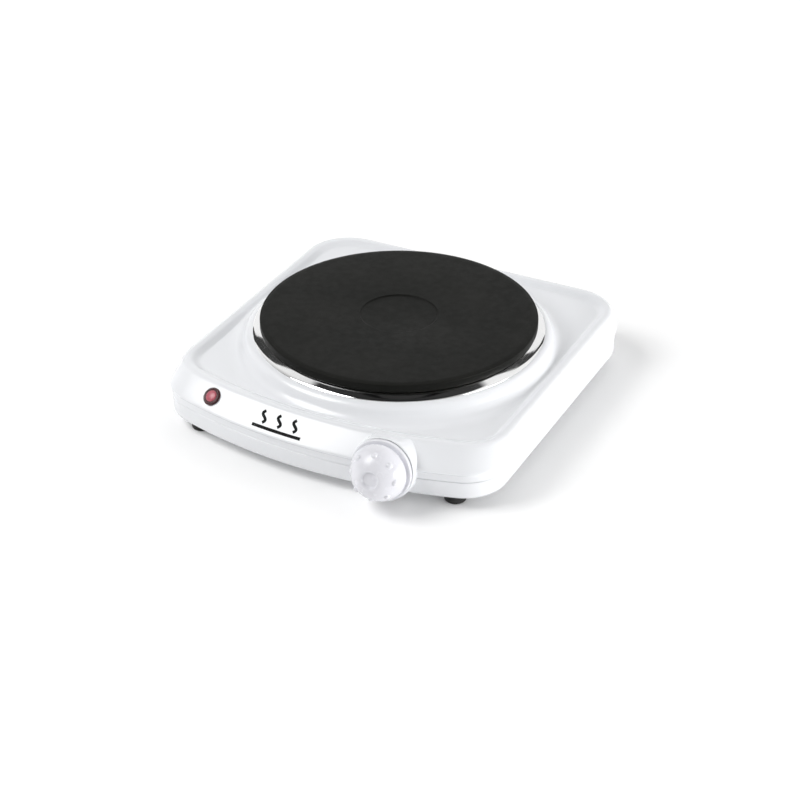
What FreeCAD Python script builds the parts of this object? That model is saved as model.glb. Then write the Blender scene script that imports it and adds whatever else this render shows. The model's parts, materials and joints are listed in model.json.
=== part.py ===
import FreeCAD, Part
import math
import os
import Sketcher
from FreeCAD import Placement, Rotation, Vector

# A free-standing single electric hot plate. Every piece is drawn with the hotplate's axis on X = Y = 0
# and Z measured up from the surface that the feet stand on; the front is towards -Y. The last step
# moves each piece along Y so that the origin is the middle of the whole footprint.

doc = FreeCAD.newDocument("HotPlate")
sheet = doc.addObject("Spreadsheet::Sheet", "Sizes")

SIZES = [
    ("plate_radius", 92.5, "hotplate radius"),
    # Body outline: straight sides and back, bowed front. Heights are above the floor.
    ("side_margin", 27.7, "hotplate's edge to the side of the ledge"),
    ("front_margin", 38.6, "hotplate's edge to the middle of the bowed ledge"),
    ("back_margin", 27.3, "hotplate's edge to the back of the ledge"),
    ("bow_radius", 334.0, "radius of the bowed front at the ledge"),
    ("front_corner", 31.0, "corner radius of the ledge, front"),
    ("back_corner", 34.0, "corner radius of the ledge, back"),
    ("crest_sharpen", 3.0, "how much smaller the crest's corner radii are"),
    ("facia_run_front", 14.2, "depth of the sloped facia, front"),
    ("facia_run_side", 4.2, "run of the sloped side"),
    ("facia_run_back", 2.4, "run of the sloped back"),
    ("foot_height", 7.0, "floor to the underside of the base tray"),
    ("tray_height", 13.5, "underside of the tray to the parting line"),
    ("skirt_height", 7.0, "parting line to the ledge"),
    ("facia_height", 12.5, "ledge to the crest of the rim"),
    ("pan_depth", 3.2, "crest of the rim to the pan floor"),
    ("plate_stand", 17.0, "crest of the rim to the top of the hotplate"),
    ("sheet_wall", 1.2, "wall of the pressed housing and tray"),
    ("ledge_lip", 1.0, "how far the ledge stands out from the skirt"),
    ("ledge_round", 1.6, "height of the rounded ledge"),
    ("rim_land", 4.6, "width of the flat on the rim"),
    ("rim_slope", 5.0, "run of the rim's inner slope"),
    ("parting_gap", 0.4, "gap between skirt and tray"),
    ("tray_fit", 0.3, "side clearance of the tray's lip in the skirt"),
    ("lip_rise", 4.0, "height of the tray's lip above the parting line"),
    ("tray_round", 5.0, "height of the tray's rounded lower edge"),
    # Hotplate and collar.
    ("plate_rim", 5.8, "height of the hotplate's overhanging rim"),
    ("plate_overhang", 4.1, "how far that rim stands out over the casting's side"),
    ("plate_depth", 16.0, "total height of the hotplate casting"),
    ("plate_skin", 6.4, "thickness of the cooking face over the heater"),
    ("plate_edge", 1.1, "edge rounding of the hotplate"),
    ("recess_radius", 25.9, "radius of the sunk centre of the cooking face"),
    ("recess_depth", 0.7, "depth of the sunk centre"),
    ("hub_radius", 22.0, "radius of the hub under the plate"),
    ("skirt_wall", 6.0, "wall of the casting's outer ring"),
    ("opening_gap", 3.0, "casting's side to the edge of the collar's opening"),
    ("land_reach", 4.8, "hotplate's edge to the outer edge of the land under the spill ring"),
    ("collar_drop", 9.7, "hotplate top to the collar's land"),
    ("shoulder_run", 6.1, "width of the collar's rounded shoulder"),
    ("shoulder_drop", 5.4, "height of the collar's rounded shoulder"),
    ("sweep_run", 8.6, "width of the collar's hollow curve"),
    ("ring_sheet", 0.6, "thickness of the spill ring"),
    ("ring_gap", 0.3, "clearance between spill ring and casting"),
    ("ring_overlap", 0.2, "how far the spill ring reaches past its land"),
    ("coil_wire", 2.2, "radius of the wound heater"),
    ("coil_from_hub", 14.0, "hub of the casting to the inner turn"),
    ("coil_from_skirt", 10.4, "outer ring of the casting to the outer turn"),
    ("coil_gap", 24.0, "degrees left open in each turn of the heater"),
    ("tail_radius", 1.2, "radius of the heater's tails"),
    # Knob, on an axis that leans up and out from straight ahead.
    ("knob_inset", 66.0, "side of the ledge to the knob centre"),
    ("knob_stand", 1.33, "bowed ledge out to the knob centre, at the knob"),
    ("knob_drop", 2.4, "ledge down to the knob centre"),
    ("knob_turn_out", 3.0, "degrees that the knob faces to the right"),
    ("knob_tilt", 10.0, "degrees that the knob faces up"),
    ("boss_margin", 0.7, "how far the boss stands out round the knob's flange"),
    ("boss_clear", 0.2, "underside of the tray up to the lowest part of the boss"),
    ("boss_depth", 24.0, "length of the boss back into the housing"),
    ("boss_lip", 6.6, "knob centre back to where the boss starts to slope"),
    ("boss_slope_run", 9.8, "run of the boss's sloping top"),
    ("boss_fall", 4.2, "fall of the boss's sloping top"),
    ("knob_gap", 0.8, "gap between boss and knob"),
    ("flange_radius", 20.0, "radius of the knob's flange"),
    ("flange_height", 3.0, "height of the knob's flange"),
    ("groove_inset", 3.2, "depth of the groove above the flange"),
    ("groove_width", 1.5, "width of that groove"),
    ("dome_skirt", 2.2, "height of the upright edge between groove and dome"),
    ("dome_inset", 1.8, "how far the dome stays inside the flange"),
    ("knob_length", 20.6, "boss face to the knob's front"),
    ("cap_radius", 7.2, "radius of the flat front ring of the knob"),
    ("grip_place", 0.535, "place of the pips, as a share of the way down the dome"),
    ("cap_ring", 1.6, "width of that ring"),
    ("cap_recess_depth", 1.6, "depth of the recess inside that ring"),
    ("knob_wall", 2.0, "wall of the knob"),
    ("grip_count", 8.0, "number of grip pips"),
    ("grip_pip", 1.5, "radius of a grip pip"),
    ("spindle_radius", 3.0, "thermostat spindle"),
    ("spindle_fit", 0.06, "running clearance of the spindle"),
    ("bush_wall", 1.8, "wall of the threaded bush"),
    ("hub_wall", 2.2, "wall of the knob's hub"),
    ("clip_sheet", 0.5, "thickness of the knob's spring clip"),
    ("flat_depth", 1.2, "depth of the flat on the spindle"),
    ("nut_height", 2.6, "thickness of the thermostat's nut"),
    ("nut_wall", 2.2, "wall of that nut at its flats"),
    ("stat_width", 30.0, "thermostat body width"),
    ("stat_clear", 2.01, "clearance of the thermostat body over the tray's floor"),
    ("stat_depth", 20.0, "thermostat body depth"),
    ("stat_setback", 9.0, "boss face to the thermostat body"),
    ("leaf_length", 22.0, "length of the bimetal strip and of the contact leaf"),
    ("blade_width", 6.3, "push-on blade width"),
    ("blade_thick", 0.8, "push-on blade thickness"),
    ("blade_length", 8.0, "push-on blade length"),
    ("blade_root", 4.0, "length of a blade inside its holder"),
    # Indicator lamp on the sloped facia.
    ("lamp_inset", 45.0, "side of the ledge to the lamp centre"),
    ("lamp_stem", 4.8, "radius of the lamp's stem"),
    ("lamp_lip", 1.3, "width of the lamp's flange"),
    ("lamp_wall", 1.1, "wall of the lamp's stem"),
    ("lamp_fit", 0.2, "clearance of the stem in the facia"),
    ("lamp_seat", 0.15, "clearance of the lamp's flange over the bowed facia"),
    # Plate fixing and shield.
    ("stud_radius", 3.0, "centre stud"),
    ("thread_gap", 0.05, "gap between a plain shank and its hole"),
    ("slip_gap", 0.3, "gap between the stud and the parts that slip over it"),
    ("bridge_bearing", 9.0, "collar's foot to the end of the mounting bridge"),
    ("bridge_width", 18.0, "width of the mounting bridge"),
    ("bridge_sheet", 1.5, "thickness of the mounting bridge"),
    ("bridge_drop", 2.4, "pan underside to the top of the bridge"),
    ("bridge_foot", 10.0, "length of the raised ends of the bridge"),
    ("shield_inset", 4.4, "casting's side in to the edge of the heat shield"),
    ("shield_sheet", 0.5, "thickness of the heat shield"),
    ("shield_turn_up", 3.5, "height of the shield's turned-up edge"),
    # Base, feet and wiring.
    ("foot_side_inset", 28.2, "side of the ledge to the middle of a foot"),
    ("foot_front_inset", 27.6, "middle of the bowed ledge to the front feet"),
    ("foot_back_inset", 27.8, "back of the ledge to the back feet"),
    ("foot_radius", 7.0, "radius of a foot near the floor"),
    ("foot_taper", 0.4, "how much wider a foot is under the tray"),
    ("foot_ring", 2.6, "width of the ring that a foot stands on"),
    ("screw_radius", 1.9, "foot screw shank"),
    ("screw_head_gap", 0.8, "gap round the screw's head in the foot"),
    ("post_wall", 2.3, "wall of the posts that the screws enter"),
    ("slot_share", 0.3676, "length of a vent slot as a share of the plate's radius"),
    ("slot_width", 4.6, "width of a vent slot"),
    ("slot_pitch", 11.0, "pitch of the vent slots"),
    ("slot_count", 9.0, "vent slots in a row"),
    ("slot_row_share", 0.5622, "pitch of the rows of slots as a share of the plate's radius"),
    ("slot_row_shift", 2.0, "how far the middle row is in front of the plate axis"),
    ("gland_inset", 75.2, "side of the ledge to the cord gland"),
    ("gland_clear", 0.2, "clearance of the gland over the tray's floor"),
    ("gland_keeper_lip", 0.7, "how far the gland stands out inside the wall"),
    ("gland_bore", 3.7, "radius of the gland's bore"),
    ("gland_wall", 1.6, "wall of the gland in the tray"),
    ("gland_flange_lip", 1.5, "how far the gland's outer flange stands out"),
    ("gland_length", 13.0, "length of the gland"),
    ("gland_stand", 3.4, "how far the gland stands out from the ledge"),
    ("clamp_inset", 18.0, "back of the ledge to the cord clamp"),
    ("clamp_half_pitch", 10.0, "gland's axis to each clamp screw"),
    ("clamp_height", 9.6, "height of the cord clamp"),
    ("block_inset", 37.8, "back of the ledge to the mains terminal block"),
    ("block_depth", 17.0, "mains terminal block depth"),
    ("block_height", 13.0, "mains terminal block height"),
    ("pole_pitch", 12.0, "pitch of the block's poles"),
    ("earth_gap", 19.0, "side of the block to the earth screw"),
    ("lead_radius", 1.1, "radius of the mains leads"),
    ("lamp_lead_radius", 0.8, "radius of the lamp leads"),
]


class Size:
    """A length that carries its number and its spreadsheet expression together."""

    def __init__(self, number, text):
        self.number = number
        self.text = text

    def __add__(self, other):
        other = size(other)
        return Size(self.number + other.number, f"({self.text} + {other.text})")

    def __sub__(self, other):
        other = size(other)
        return Size(self.number - other.number, f"({self.text} - {other.text})")

    def __mul__(self, other):
        other = size(other)
        return Size(self.number * other.number, f"({self.text} * {other.text})")

    def __truediv__(self, other):
        other = size(other)
        return Size(self.number / other.number, f"({self.text} / {other.text})")

    def __neg__(self):
        return Size(-self.number, f"(0 - {self.text})")

    __radd__ = __add__
    __rmul__ = __mul__

    def __rsub__(self, other):
        return size(other) - self


def size(value):
    """A plain number as a Size; a Size as it is."""
    if isinstance(value, Size):
        return value
    return Size(float(value), f"({float(value):.6f})")


def root(value):
    return Size(math.sqrt(value.number), f"sqrt({value.text})")


def sine(degrees):
    return Size(math.sin(math.radians(degrees.number)), f"sin({degrees.text})")


def cosine(degrees):
    return Size(math.cos(math.radians(degrees.number)), f"cos({degrees.text})")


class Names:
    """The sheet's sizes, by alias."""


S = Names()


def write_row(row, alias, content, note, number):
    sheet.set(f"A{row}", note)
    sheet.set(f"B{row}", content)
    sheet.setAlias(f"B{row}", alias)
    setattr(S, alias, Size(number, f"Sizes.{alias}"))


for row, (alias, number, note) in enumerate(SIZES, start=1):
    write_row(row, alias, str(number), note, number)

# Heights and reaches that follow from the sizes above, kept in the sheet as formulas.
DERIVED = []
# The dome's arc: its radius as a share of its chord, and how far it swells from that chord.
DOME_BEND = 1.04
DOME_SWELL = 0.1275


def derive(alias, value, note):
    DERIVED.append(alias)
    content = "=" + value.text.replace("Sizes.", "")
    write_row(len(SIZES) + len(DERIVED), alias, content, note, value.number)


derive("half_width", S.plate_radius + S.side_margin, "plate axis to the side of the ledge")
derive("body_front", S.plate_radius + S.front_margin, "plate axis to the middle of the bowed ledge")
derive("body_back", S.plate_radius + S.back_margin, "plate axis to the back of the ledge")
derive("crest_front_corner", S.front_corner - S.crest_sharpen, "corner radius of the crest, front")
derive("crest_back_corner", S.back_corner - S.crest_sharpen, "corner radius of the crest, back")
derive("plate_body_radius", S.plate_radius - S.plate_overhang, "radius of the hotplate under its rim")
derive("collar_opening", S.plate_body_radius + S.opening_gap, "radius of the opening in the collar")
derive("collar_land", S.plate_radius + S.land_reach, "outer radius of the land under the spill ring")
derive("ring_outer", S.collar_land + S.ring_overlap, "outer radius of the spill ring")
derive("shoulder_radius", S.collar_land + S.shoulder_run, "radius at the foot of the collar's shoulder")
derive("collar_foot", S.shoulder_radius + S.sweep_run, "radius where the collar meets the pan floor")
derive("shield_radius", S.plate_body_radius - S.shield_inset, "radius of the heat shield")
derive("bridge_reach", S.collar_foot + S.bridge_bearing, "plate axis to the end of the bridge")
derive("coil_inner", S.hub_radius + S.coil_from_hub, "radius of the inner turn of the heater")
derive("coil_outer", S.plate_body_radius - S.skirt_wall - S.coil_from_skirt,
       "radius of the outer turn")
derive("coil_middle", (S.coil_inner + S.coil_outer) / 2, "radius of the middle turn")
derive("foot_x", S.half_width - S.foot_side_inset, "feet from the middle, sideways")
derive("foot_front", S.body_front - S.foot_front_inset, "front feet in front of the plate axis")
derive("foot_back", S.body_back - S.foot_back_inset, "back feet behind the plate axis")
derive("foot_recess", S.foot_radius - S.foot_ring, "radius of the recess for the screw head")
derive("screw_head", S.foot_recess - S.screw_head_gap, "foot screw head radius")
derive("post_radius", S.screw_radius + S.post_wall, "radius of the posts that the screws enter")
derive("knob_x", S.half_width - S.knob_inset, "knob centre to the right of the plate axis")
derive("knob_front", root(S.bow_radius * S.bow_radius - S.knob_x * S.knob_x) - S.bow_radius
       + S.body_front + S.knob_stand, "knob centre in front of the plate axis")
derive("boss_radius", S.flange_radius + S.boss_margin, "radius of the round boss behind the knob")
derive("boss_floor", S.foot_height + S.boss_clear, "lowest height of the boss")
derive("dome_radius", S.flange_radius - S.dome_inset, "largest radius of the knob's dome")
derive("groove_radius", S.flange_radius - S.groove_inset, "radius of the groove above the flange")
derive("cap_recess", S.cap_radius - S.cap_ring, "radius of the recess in the knob's front")
derive("groove_top", S.knob_gap + S.flange_height + S.groove_width, "boss face to the dome's edge")
derive("dome_low", S.groove_top + S.dome_skirt, "boss face to where the dome starts to curve")
derive("dome_run", S.dome_radius - S.cap_radius, "width of the dome's curve")
derive("dome_rise", S.knob_length - S.dome_low, "height of the dome's curve")
derive("grip_circle", S.cap_radius + S.dome_run * S.grip_place + S.dome_rise * DOME_SWELL,
       "radius of the circle of pips")
derive("grip_height", S.knob_length - S.dome_rise * S.grip_place + S.dome_run * DOME_SWELL,
       "height of the pips above the boss face")
derive("bush_radius", S.spindle_radius + S.bush_wall, "threaded bush")
derive("nut_width", (S.bush_radius + S.nut_wall) * 2, "width across flats of the thermostat's nut")
derive("lamp_x", S.half_width - S.lamp_inset, "lamp centre to the left of the plate axis")
derive("lamp_flange", S.lamp_stem + S.lamp_lip, "radius of the lamp's flange")
derive("lamp_hole", S.lamp_stem + S.lamp_fit, "radius of the hole in the facia")
derive("lamp_bore", S.lamp_stem - S.lamp_wall, "radius inside the lamp's stem")
derive("slot_length", S.plate_radius * S.slot_share, "length of a vent slot")
derive("gland_x", S.half_width - S.gland_inset, "cord gland to the left of the plate axis")
derive("gland_body", S.gland_bore + S.gland_wall, "radius of the gland in the wall")
derive("gland_keeper", S.gland_body + S.gland_keeper_lip, "radius of the gland inside the wall")
derive("gland_height", S.foot_height + S.sheet_wall + S.gland_clear + S.gland_keeper,
       "cord gland above the floor")
derive("gland_flange", S.gland_body + S.gland_flange_lip, "radius of the gland's outer flange")
derive("block_width", S.pole_pitch * 3, "mains terminal block width")
derive("block_back", S.body_back - S.block_inset, "mains terminal block behind the plate axis")
derive("earth_x", S.block_width / 2 + S.earth_gap - S.gland_x, "earth screw, from the plate axis")
derive("parting", S.foot_height + S.tray_height, "height of the parting line")
derive("ledge", S.parting + S.skirt_height, "height of the ledge")
derive("knob_height", S.ledge - S.knob_drop, "knob centre above the floor")
derive("stat_reach", (S.stat_setback + S.stat_depth) * sine(S.knob_tilt),
       "how far the thermostat body leans down at its back")
derive("stat_height", (S.knob_height - S.foot_height - S.sheet_wall - S.stat_clear - S.stat_reach)
       * 2 / cosine(S.knob_tilt), "thermostat body height")
derive("crest", S.ledge + S.facia_height, "height of the rim's crest")
derive("pan_floor", S.crest - S.pan_depth, "height of the pan floor")
derive("pan_under", S.pan_floor - S.sheet_wall, "height of the underside of the pan")
derive("plate_top", S.crest + S.plate_stand, "height of the cooking face")
derive("plate_bottom", S.plate_top - S.plate_depth, "height of the casting's lower edge")
derive("collar_top", S.plate_top - S.collar_drop, "height of the collar's land")
derive("tray_floor", S.foot_height + S.sheet_wall, "height of the tray's floor inside")
derive("bridge_top", S.pan_under - S.bridge_drop, "top of the bridge's middle")
derive("shield_top", S.bridge_top + S.shield_sheet, "top of the heat shield")
derive("facing_y", cosine(S.knob_turn_out) * cosine(S.knob_tilt), "knob axis, share along -Y")
derive("front_reach", S.knob_front + S.knob_length * S.facing_y
       + S.cap_radius * root(1 - S.facing_y * S.facing_y), "plate axis to the knob's front")
derive("gland_out", S.body_back + S.gland_stand, "plate axis to the back of the gland")
derive("middle_shift", (S.front_reach - S.gland_out) / 2, "plate axis behind the origin")
doc.recompute()

nodes = {}


def bind(thing, **sizes):
    """Set properties of one object from Sizes, by expression."""
    for name, value in sizes.items():
        thing.setExpression(name.replace("_", "."), size(value).text)
    return thing


def put(thing, x=0, y=0, z=0):
    """Bind an object's position, leaving its rotation."""
    return bind(thing, Placement_Base_x=x, Placement_Base_y=y, Placement_Base_z=z)


def cylinder(name, radius, height, at=(0, 0, 0), turn=None):
    thing = doc.addObject("Part::Cylinder", name)
    if turn is not None:
        thing.Placement = Placement(Vector(), turn)
    bind(thing, Radius=radius, Height=height)
    return put(thing, *at)


def block(name, lengths, at):
    """A box with its lowest corner at a point."""
    thing = doc.addObject("Part::Box", name)
    bind(thing, Length=lengths[0], Width=lengths[1], Height=lengths[2])
    return put(thing, *at)


def middle_block(name, lengths, at):
    """A box centred in X and Y on a point, standing on its Z."""
    x, y, z = at
    return block(name, lengths, (x - size(lengths[0]) / 2, y - size(lengths[1]) / 2, z))


def fuse(name, shapes):
    thing = doc.addObject("Part::MultiFuse", name)
    thing.Shapes = shapes
    return thing


def cut(name, base, tools):
    thing = doc.addObject("Part::Cut", name)
    thing.Base = base
    thing.Tool = tools[0] if len(tools) == 1 else fuse(name + "_tools", tools)
    return thing


def group(name, shapes):
    """Several identical fasteners in one node, still separate solids."""
    thing = doc.addObject("Part::Compound", name)
    thing.Links = shapes
    return thing


def body(name):
    return doc.addObject("PartDesign::Body", name)


def origin_plane(owner, role):
    return next(plane for plane in owner.Origin.OriginFeatures if plane.Role == role)


def add_path(sketch, path):
    """One closed path. Each vertex is (x, y) or (x, y, side, radius) for an arc to the next vertex."""
    first = sketch.GeometryCount
    count = len(path)
    ends = []
    for index, vertex in enumerate(path):
        start = Vector(size(vertex[0]).number, size(vertex[1]).number)
        following = path[(index + 1) % count]
        end = Vector(size(following[0]).number, size(following[1]).number)
        if len(vertex) == 2:
            sketch.addGeometry(Part.LineSegment(start, end), False)
            ends.append((1, 2))
            continue
        side, radius = vertex[2], size(vertex[3])
        chord = end - start
        sign = 1 if side == "left" else -1
        normal = Vector(-chord.y, chord.x).normalize() * sign
        rise = math.sqrt(max(radius.number**2 - (chord.Length / 2)**2, 0))
        centre = (start + end) * 0.5 + normal * rise
        low, high = (start, end) if sign > 0 else (end, start)
        angles = [math.atan2(p.y - centre.y, p.x - centre.x) for p in (low, high)]
        circle = Part.Circle(centre, Vector(0, 0, 1), radius.number)
        sketch.addGeometry(Part.ArcOfCircle(circle, angles[0], angles[1]), False)
        ends.append((1, 2) if sign > 0 else (2, 1))
    for index, vertex in enumerate(path):
        edge = first + index
        before = first + (index - 1) % count
        sketch.addConstraint(Sketcher.Constraint(
            "Coincident", before, ends[(index - 1) % count][1], edge, ends[index][0]))
        for kind, value, axis in (("DistanceX", vertex[0], -2), ("DistanceY", vertex[1], -1)):
            value = size(value)
            if abs(value.number) < 1e-9:
                sketch.addConstraint(Sketcher.Constraint("PointOnObject", edge, ends[index][0], axis))
                continue
            number = sketch.addConstraint(Sketcher.Constraint(
                kind, -1, 1, edge, ends[index][0], value.number))
            sketch.setExpression(f"Constraints[{number}]", value.text)
        if len(vertex) > 2:
            radius = size(vertex[3])
            number = sketch.addConstraint(Sketcher.Constraint("Radius", edge, radius.number))
            sketch.setExpression(f"Constraints[{number}]", radius.text)


def sketch_of(owner, name, paths, role="XY_Plane", height=None):
    """A fully constrained sketch on one of the body's own planes."""
    sketch = owner.newObject("Sketcher::SketchObject", name)
    sketch.AttachmentSupport = [(origin_plane(owner, role), "")]
    sketch.MapMode = "FlatFace"
    if height is not None:
        sketch.AttachmentOffset = Placement(Vector(0, 0, height.number), Rotation())
        sketch.setExpression("AttachmentOffset.Base.z", height.text)
    for path in paths:
        add_path(sketch, path)
    return sketch


def turned(name, path, angle=360):
    """A solid of revolution about Z from (radius, height) points."""
    owner = body(name)
    profile = sketch_of(owner, name + "_profile", [path], role="XZ_Plane")
    feature = owner.newObject("PartDesign::Revolution", name + "_turn")
    feature.Profile = profile
    feature.ReferenceAxis = (profile, ["V_Axis"])
    feature.Angle = angle
    return owner


def padded(name, paths, length, role="XY_Plane", height=None, midplane=False):
    owner = body(name)
    profile = sketch_of(owner, name + "_profile", paths, role=role, height=height)
    feature = owner.newObject("PartDesign::Pad", name + "_pad")
    feature.Profile = profile
    feature.setExpression("Length", size(length).text)
    if midplane:
        feature.SideType = "Symmetric"
    return owner


def polygon(sides, across_flats):
    """The vertices of a regular polygon, flat side towards +Y."""
    radius = size(across_flats) / (2 * math.cos(math.pi / sides))
    angles = [math.pi / 2 + math.pi / sides + 2 * math.pi * k / sides for k in range(sides)]
    return [(radius * round(math.cos(a), 9), radius * round(math.sin(a), 9)) for a in angles]


def finish(name, thing, place=None):
    """Give a finished piece its node name, and move it so that the footprint's middle is the origin."""
    bound = dict(thing.ExpressionEngine)
    if place is not None:
        if bound:
            thing = group(name + "_carrier", [thing])
        shift = Vector(0, S.middle_shift.number, 0)
        thing.Placement = Placement(shift, Rotation()).multiply(place)
    else:
        old = bound.get(".Placement.Base.y") or bound.get("Placement.Base.y")
        text = S.middle_shift.text if old is None else f"{old} + {S.middle_shift.text}"
        thing.setExpression("Placement.Base.y", text)
    thing.Label = name
    nodes[name] = thing
    return thing


# ---------------------------------------------------------------- outlines of the body

class Outline:
    """Straight sides and back, a bowed front, rounded corners; seen from above."""

    def __init__(self, half_width, back, front, bow, front_corner, back_corner, bow_centre=None):
        self.half_width = half_width
        self.back = back
        self.bow = bow
        self.front_corner = front_corner
        self.back_corner = back_corner
        self.bow_centre = bow - front if bow_centre is None else bow_centre

    def inset(self, gap):
        """The same outline a constant distance further in."""
        return Outline(self.half_width - gap, self.back - gap, None, self.bow - gap,
                       self.front_corner - gap, self.back_corner - gap, self.bow_centre)

    def path(self):
        w, b = self.half_width, self.back
        bow, near, far = self.bow, self.front_corner, self.back_corner
        corner_x = w - near
        reach = bow - near
        corner_y = self.bow_centre - root(reach * reach - corner_x * corner_x)
        touch_x = corner_x * bow / reach
        touch_y = self.bow_centre + (corner_y - self.bow_centre) * bow / reach
        return [
            (w, corner_y),
            (w, b - far, "left", far),
            (w - far, b),
            (far - w, b, "left", far),
            (-w, b - far),
            (-w, corner_y, "left", near),
            (-touch_x, touch_y, "left", bow),
            (touch_x, touch_y, "left", near),
        ]

    def front_at(self, x):
        """How far forward of the plate axis the bowed front is, at one X."""
        return root(self.bow * self.bow - x * x) - self.bow_centre


ledge_line = Outline(S.half_width, S.body_back, S.body_front, S.bow_radius,
                     S.front_corner, S.back_corner)
crest_line = Outline(S.half_width - S.facia_run_side, S.body_back - S.facia_run_back,
                     S.body_front - S.facia_run_front, S.bow_radius,
                     S.crest_front_corner, S.crest_back_corner)
skirt_line = ledge_line.inset(S.ledge_lip)
land_line = crest_line.inset(S.rim_land)
pan_line = land_line.inset(S.rim_slope)


def lofted(owner, name, levels, kind="PartDesign::AdditiveLoft"):
    """A ruled loft through (outline, height) levels."""
    sketches = [sketch_of(owner, f"{name}_{index}", [outline.path()], height=size(height))
                for index, (outline, height) in enumerate(levels)]
    feature = owner.newObject(kind, name)
    feature.Profile = sketches[0]
    feature.Sections = sketches[1:]
    feature.Ruled = True
    return feature


def collar_path(gap, low):
    """Section of the collar: land, rounded shoulder, and a hollow curve down to the pan floor."""
    land = S.collar_land
    shoulder_z = S.collar_top - S.shoulder_drop
    foot_z = S.pan_floor - gap
    run = S.shoulder_radius - land
    chord = root(run * run + S.shoulder_drop * S.shoulder_drop)
    fall = shoulder_z - S.pan_floor
    sweep = S.collar_foot - S.shoulder_radius
    foot_chord = root(sweep * sweep + fall * fall)
    return [
        (0, low),
        (S.collar_foot - gap, low),
        (S.collar_foot - gap, foot_z, "right", foot_chord * 1.15),
        (S.shoulder_radius - gap, shoulder_z - gap / 2, "left", chord * 0.86),
        (land - gap / 2, S.collar_top - gap),
        (0, S.collar_top - gap),
    ]


def housing_form(name, gap, low):
    """The housing's skin, solid, a constant distance inside its outer face."""
    owner = body(name)
    levels = [(skirt_line.inset(gap), low),
              (skirt_line.inset(gap), S.ledge - S.ledge_round),
              (ledge_line.inset(gap), S.ledge - S.ledge_round / 2 - gap / 2),
              (ledge_line.inset(gap), S.ledge - gap / 2),
              (crest_line.inset(gap), S.crest - gap)]
    lofted(owner, name + "_sides", levels)
    spare = 2.0
    lofted(owner, name + "_pan",
           [(pan_line.inset(-gap), S.pan_floor - gap), (land_line.inset(-gap), S.crest - gap)],
           kind="PartDesign::SubtractiveLoft")
    profile = sketch_of(owner, name + "_collar", [collar_path(gap, S.pan_floor - gap - spare)],
                        role="XZ_Plane")
    feature = owner.newObject("PartDesign::Revolution", name + "_collar_turn")
    feature.Profile = profile
    feature.ReferenceAxis = (profile, ["V_Axis"])
    feature.Angle = 360
    return owner


# ---------------------------------------------------------------- tilted frames

across = Rotation(Vector(0, 0, 1), S.knob_turn_out.number)
leaning = Rotation(Vector(1, 0, 0), 90 - S.knob_tilt.number)
knob_place = Placement(
    Vector(S.knob_x.number, -S.knob_front.number, S.knob_height.number), across.multiply(leaning))

lamp_face = (ledge_line.front_at(S.lamp_x) + crest_line.front_at(S.lamp_x)) / 2
lamp_lean = math.degrees(math.atan2(S.facia_run_front.number, S.facia_height.number))
lamp_swing = math.degrees(math.asin(S.lamp_x.number / S.bow_radius.number))
lamp_place = Placement(
    Vector(-S.lamp_x.number, -lamp_face.number, (S.ledge.number + S.crest.number) / 2),
    Rotation(Vector(0, 0, 1), -lamp_swing).multiply(Rotation(Vector(1, 0, 0), 90 - lamp_lean)))


def local_cylinder(name, radius, low, high, place, x=0.0, y=0.0):
    """A cylinder along a tilted frame's own Z, from low to high."""
    thing = doc.addObject("Part::Cylinder", name)
    bind(thing, Radius=radius, Height=size(high) - size(low))
    thing.Placement = place.multiply(Placement(Vector(x, y, size(low).number), Rotation()))
    return thing


# ---------------------------------------------------------------- top housing

gland_turn = Rotation(Vector(1, 0, 0), -90)
FEET = [("front_left", -1, -1), ("front_right", 1, -1), ("back_left", -1, 1), ("back_right", 1, 1)]


def foot_spot(side, end):
    return S.foot_x * side, (S.foot_back if end > 0 else -S.foot_front)


outer_form = housing_form("housing_outer", size(0.0), S.parting + S.parting_gap)
inner_form = housing_form("housing_inner", S.sheet_wall, S.parting + S.parting_gap - 1)

posts = []
for label, side, end in FEET:
    x, y = foot_spot(side, end)
    tall = S.crest - S.tray_floor
    posts.append(cylinder(f"post_{label}", S.post_radius, tall, (x, y, S.tray_floor + S.thread_gap)))
hollow = cut("housing_hollow", inner_form, posts)


def boss_slab(name, lower):
    """Everything above the sloping top of the boss, which runs back and down to the rim's crest."""
    fall = math.degrees(math.atan2(S.boss_fall.number, S.boss_slope_run.number))
    slab = doc.addObject("Part::Box", name)
    slab.Length, slab.Width, slab.Height = 80, 60, 30
    slab.Placement = Placement(Vector(0, 0, 0), Rotation(Vector(1, 0, 0), -fall))
    return put(slab, S.knob_x - 40, -S.knob_front + S.boss_lip, S.crest + S.boss_fall - lower)


boss = cut("boss", local_cylinder("boss_round", S.boss_radius, -S.boss_depth, 0, knob_place),
           [boss_slab("boss_slope", 0)])
boss_hollow = cut("boss_hollow", local_cylinder("boss_bore", S.boss_radius - S.sheet_wall,
                                                -S.boss_depth, -S.sheet_wall, knob_place),
                  [boss_slab("boss_inner_slope", S.sheet_wall * 1.1)])
shell_hollow = fuse("shell_hollow", [hollow, boss_hollow])
solid_shell = fuse("solid_shell", [outer_form, boss])
shell = cut("shell", solid_shell, [shell_hollow])
shell_posts = []
for label, side, end in FEET:
    x, y = foot_spot(side, end)
    low = S.tray_floor + S.thread_gap
    shell_posts.append(cylinder(f"shell_post_{label}", S.post_radius, S.pan_under - low + 0.6,
                                (x, y, low)))
walls = fuse("shell_walls", [shell] + shell_posts)

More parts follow.
